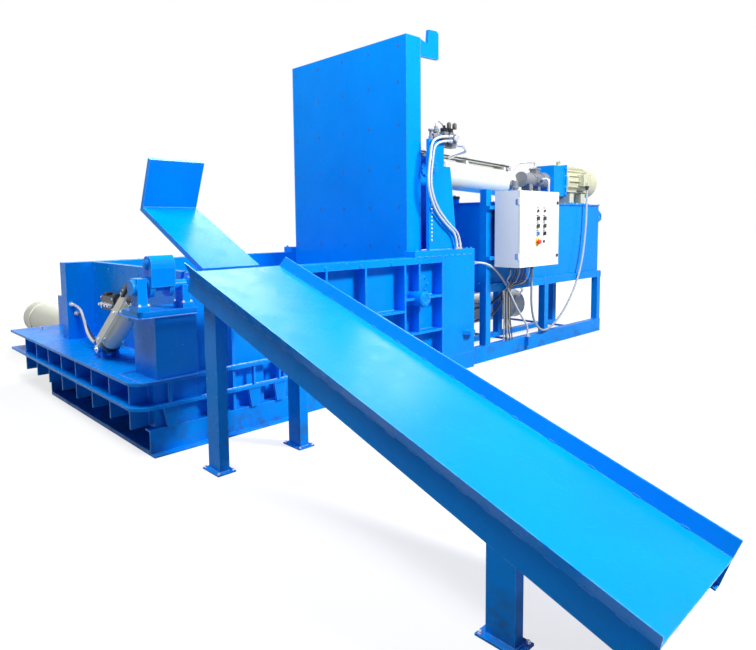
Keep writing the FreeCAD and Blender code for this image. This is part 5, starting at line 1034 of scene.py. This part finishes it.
bm = bmesh.new()
slab(bm, on_motor(0.292, -0.282, -0.068), on_motor(0.488, -0.268, 0.108), 0.005)
for x in (0.304, 0.476):
    for z in (-0.056, 0.096):
        turned(bm, on_motor(x, -0.282, z), (0, -1, 0), [
            (-0.001, 0.007), (0.004, 0.007), (0.005, 0.005), (0.002, 0.003), (0.002, 0)], 12)
bolt_ring(bm, motor, (-1, 0, 0), 0.190, 8, 0.018, start=0.39)
shown("motor_fastenings", bm, motor_paint)
bm = bmesh.new()
for ring in (0.070, 0.095, 0.120, 0.145):
    outline = [(0.0, ring - 0.003), (0.003, ring - 0.003), (0.003, ring + 0.003), (0.0, ring + 0.003)]
    turned(bm, on_motor(0.8335, 0, 0), (1, 0, 0), outline, 40)
for step in range(12):
    turn = step * math.tau / 12
    lie = Matrix.Translation(on_motor(0.832, 0, 0)) @ Matrix.Rotation(turn, 4, "X")
    slab(bm, (0, 0.055, -0.003), (0.004, 0.160, 0.003), 0.001, lie)
turned(bm, on_motor(0.8315, 0, 0), (1, 0, 0), [
    (0, 0.0), (0, 0.062), (0.003, 0.062), (0.004, 0.058), (0.004, 0)], 32)
shown("fan_grille", bm, motor_paint)
bm = bmesh.new()
for z in (1.96, 2.30):
    for y in (-0.943, -0.597):
        bolt(bm, (4.193, y, z), (-1, 0, 0), 0.022)
for near, far in ((-0.990, -0.941), (-0.599, -0.550)):
    slab(bm, (4.27, near, 1.8222), (4.78, far, 1.8360), 0.003)
for x in (4.32, 4.73):
    for y in (-0.968, -0.572):
        bolt(bm, (x, y, 1.8360), (0, 0, 1), 0.020)
shown("motor_rails", bm, blue)
bm = bmesh.new()
bolt_ring(bm, on_motor(-0.331, 0, 0), (-1, 0, 0), 0.100, 8, 0.014, washer=False)
for x in (-0.830, -0.620, -0.400):
    turned(bm, on_motor(x, 0, 0), (1, 0, 0), [
        (-0.002, 0.060), (0.0, 0.098), (0.018, 0.098), (0.022, 0.090)], 32)
slab(bm, on_motor(-0.560, -0.056, 0.132), on_motor(-0.440, 0.056, 0.152), 0.004)
for x in (-0.545, -0.455):
    for y in (-0.042, 0.042):
        bolt(bm, on_motor(x, y, 0.152), (0, 0, 1), 0.014, False)
slab(bm, on_motor(-0.600, -0.118, -0.040), on_motor(-0.500, -0.070, 0.040), 0.006)
for z in (-0.026, 0.026):
    for x in (-0.588, -0.512):
        bolt(bm, on_motor(x, -0.118, z), (0, -1, 0), 0.012, False)
turned(bm, on_motor(-0.550, -0.118, 0), (0, -1, 0), [
    (0, 0.026), (0.020, 0.026), (0.024, 0.020), (0.040, 0.020)], 24)
shown("pump_flanges", bm, iron)
bm = bmesh.new()
hexagon(bm, on_motor(-0.550, -0.150, 0), (0, -1, 0), 0.050, 0.026)
hexagon(bm, on_motor(-0.500, 0, 0.152), (0, 0, 1), 0.052, 0.026)
shown("pump_unions", bm, steel)
pipe("pressure_pipe", [
    on_motor(-0.550, -0.165, 0), on_motor(-0.550, -0.235, 0), on_motor(-0.550, -0.235, -0.110),
    on_motor(-0.550, -0.235, -0.306)], 0.032, 0.05, paints["zinc_pipe"])
pipe("return_pipe", [
    on_motor(-0.500, 0, 0.170), on_motor(-0.500, 0, 0.235), on_motor(-0.620, 0.04, 0.235),
    on_motor(-0.760, 0.10, 0.215), on_motor(-0.860, 0.130, 0.10), on_motor(-0.880, 0.140, -0.306)],
    0.030, 0.07, paints["zinc_pipe"])

# ---------------------------------------------------------------- tank and stand
# Folded oil tank with a bolted cover and filler cap on a welded stand. Its level gauge and drain
# cock are on the back, and rigid lines run under it to the housing.
bm = bmesh.new()
for step in range(9):
    for y in (-1.030, -0.150):
        bolt(bm, (2.42 + step * 0.32, y, 1.822), (0, 0, 1), 0.016)
shown("tank_cover_bolts", bm, steel)
bm = bmesh.new()
turned(bm, (2.620, -0.300, 1.880), (0, 0, 1), [
    (-0.002, 0.064), (0.004, 0.068), (0.028, 0.068), (0.034, 0.060), (0.036, 0.020), (0.044, 0.018),
    (0.046, 0)], 32)
shown("filler_cap", bm, paints["black_plastic"])
bm = bmesh.new()
for y in (-0.995, -0.105):
    weld(bm, (5.0405, y, 0.885), (5.0405, y, 1.806), 0.005)
weld(bm, (2.385, -1.0005, 1.808), (3.10, -1.0005, 1.808), 0.005)
weld(bm, (3.20, -1.0005, 1.808), (5.03, -1.0005, 1.808), 0.005)
weld(bm, (5.041, -1.0, 1.58), (5.041, -1.0, 1.74), 0.005)
for left in (2.260, 3.520, 4.950):
    for x in (left - 0.001, left + 0.091):
        weld(bm, (x, -1.049, 0.183), (x, -0.962, 0.183), 0.005)
        weld(bm, (x, -1.0505, 0.79), (x, -1.0505, 0.875), 0.005)
stitches(bm, (2.30, -1.0505, 0.882), (5.03, -1.0505, 0.882), 10, 0.06, 0.005)
shown("stand_welds", bm, bead_paint)
bm = bmesh.new()
slab(bm, (4.30, -0.100, 1.10), (4.36, -0.088, 1.50), 0.003)
for z in (1.115, 1.485):
    turned(bm, (4.33, -0.088, z), (0, 1, 0), [(-0.001, 0.016), (0.010, 0.016), (0.012, 0.012), (0.012, 0)], 20)
turned(bm, (4.33, -0.080, 1.13), (0, 0, 1), [(0, 0.009), (0.34, 0.009)], 16)
turned(bm, (4.75, -0.100, 0.93), (0, 1, 0), [(-0.001, 0.026), (0.020, 0.026), (0.022, 0.018), (0.050, 0.018)], 24)
hexagon(bm, (4.75, -0.052, 0.93), (0, 1, 0), 0.040, 0.020)
shown("tank_fittings", bm, steel)
# rigid lines of the tank, seen through the stand
pipe("suction_line", [(3.50, -0.770, 1.999), (3.50, -0.770, 1.90), (3.50, -0.770, 1.823)],
     0.060, 0.08, paints["black_paint"])
stand_lines = {
    "a": (0.16, [
        (2.16, -0.290, 0.640), (2.16, -0.420, 0.780), (2.22, -0.700, 0.960), (2.15, -0.93, 1.16),
        (2.06, -0.93, 1.16), (1.976, -0.93, 1.16)]),
    "b": (0.12, [
        (1.976, -0.60, 0.75), (2.12, -0.60, 0.75), (2.22, -0.62, 0.46), (2.60, -0.64, 0.38),
        (2.94, -0.66, 0.42), (3.05, -0.72, 0.60), (3.05, -0.72, 0.879)]),
    "c": (0.12, [
        (1.976, -0.50, 0.85), (2.18, -0.50, 0.85), (2.30, -0.50, 0.56), (2.70, -0.50, 0.50),
        (3.06, -0.52, 0.52), (3.23, -0.60, 0.66), (3.23, -0.60, 0.879)]),
}
for letter, (bend, route) in stand_lines.items():
    pipe("stand_line_" + letter, route, 0.030, bend, paints["black_paint"])

# ---------------------------------------------------------------- control cabinet
# Sheet steel case with a rubber-sealed door on two hinges. The door carries two columns of controls
# with blank legend plates; rigid conduits leave the glands in the case's floor.
bm = bmesh.new()
for z in (1.21, 1.81):
    turned(bm, (2.3475, -1.412, z - 0.035), (0, 0, 1), [
        (0, 0.0), (0, 0.009), (0.034, 0.009), (0.035, 0.0075), (0.036, 0.009), (0.070, 0.009), (0.070, 0)], 18)
    slab(bm, (2.347, -1.408, z - 0.033), (2.3505, -1.372, z + 0.033), 0.001)
for x in (2.40, 3.12):
    for z in (1.14, 1.88):
        slab(bm, (x - 0.022, -1.102, z - 0.022), (x + 0.022, -1.098, z + 0.022), 0.002)
shown("cabinet_hinges", bm, steel)
bm = bmesh.new()
slab(bm, (2.353, -1.4095, 1.088), (3.167, -1.4072, 1.932), 0.0005)
shown("door_seal", bm, paints["black_plastic"])
columns, rows = (2.7026, 2.842), (1.714, 1.629, 1.544, 1.459)
bm = bmesh.new()
for x in columns:
    for z in rows[1:]:
        turned(bm, (x, -1.4302, z), (0, -1, 0), [(-0.001, 0.024), (0.003, 0.0235), (0.004, 0.0215)], 32)
shown("control_bezels", bm, steel, "door")
bm = bmesh.new()
for x in columns:
    turned(bm, (x, -1.438, rows[0]), (0, -1, 0), [
        (-0.001, 0.0165), (0.005, 0.0165), (0.007, 0.0155), (0.012, 0.011), (0.0135, 0.0)], 28)
lens = painted("smoked_lens", (0.03, 0.035, 0.03), (0.02, 0.02, 0.02), 0.1, 0.0, 0.12, 0.4, 0.02)
shown("pilot_lamps", bm, lens, "door")
bm = bmesh.new()
for x in columns:
    for z in rows:
        slab(bm, (x - 0.022, -1.4318, z + 0.0275), (x + 0.022, -1.4298, z + 0.0385), 0.0006)
blank_plate = painted("legend_plate", (0.10, 0.11, 0.12), (0.07, 0.07, 0.08), 0.1, 0.0, 0.4, 0.0, 0.05)
shown("legend_plates", bm, blank_plate, "door")
bm = bmesh.new()
stop_height, stop_half = 1.3655, 0.040
slab(bm, (columns[0] - stop_half, -1.4330, stop_height - stop_half),
     (columns[0] + stop_half, -1.4298, stop_height + stop_half), 0.0012)
shown("stop_plate", bm, yellow, "door")
bm = bmesh.new()
turned(bm, (columns[1], -1.4302, stop_height), (0, -1, 0), [
    (-0.001, 0.018), (0.004, 0.018), (0.006, 0.016), (0.006, 0.010), (0.012, 0.010), (0.013, 0.008),
    (0.013, 0)], 28)
slab(bm, (2.8405, -1.4445, 1.3590), (2.8435, -1.4420, 1.3720), 0.0005)
shown("key_lock", bm, paints["black_paint"], "door")
bm = bmesh.new()
gland_lefts = [2.44 + 0.06 * step for step in range(8)]
for x in gland_lefts:
    at = (x, -1.255, 1.0852)
    hexagon(bm, at, (0, 0, -1), 0.034, 0.012)
    turned(bm, at, (0, 0, -1), [(0.012, 0.014), (0.026, 0.0135), (0.034, 0.0095), (0.034, 0.008)], 20)
shown("case_glands", bm, paints["black_plastic"])
# each conduit gathers into the bundle, drops to its own height and leans off to its foot
drops = (0.60, 0.74, 0.50, 0.82, 0.66, 0.78, 0.56, 0.70)
leans = (0.00, 0.03, 0.05, 0.02, 0.06, 0.04, 0.03, 0.05)
for index, (x, drop, lean) in enumerate(zip(gland_lefts, drops, leans)):
    gathered = 2.60 + 0.018 * index
    pipe("case_conduit_%d" % index, [
        (x, -1.255, 1.055), (x, -1.255, 1.000), (x - 0.02, -1.22, 0.93 - 0.01 * index),
        (gathered + 0.02, -1.12, 0.86), (gathered, -1.062, 0.80), (gathered, -1.062, drop - 0.26),
        (gathered + lean, -1.062, 0.186)], 0.014, 0.10, paints["black_paint"] if index % 3 else conduit)
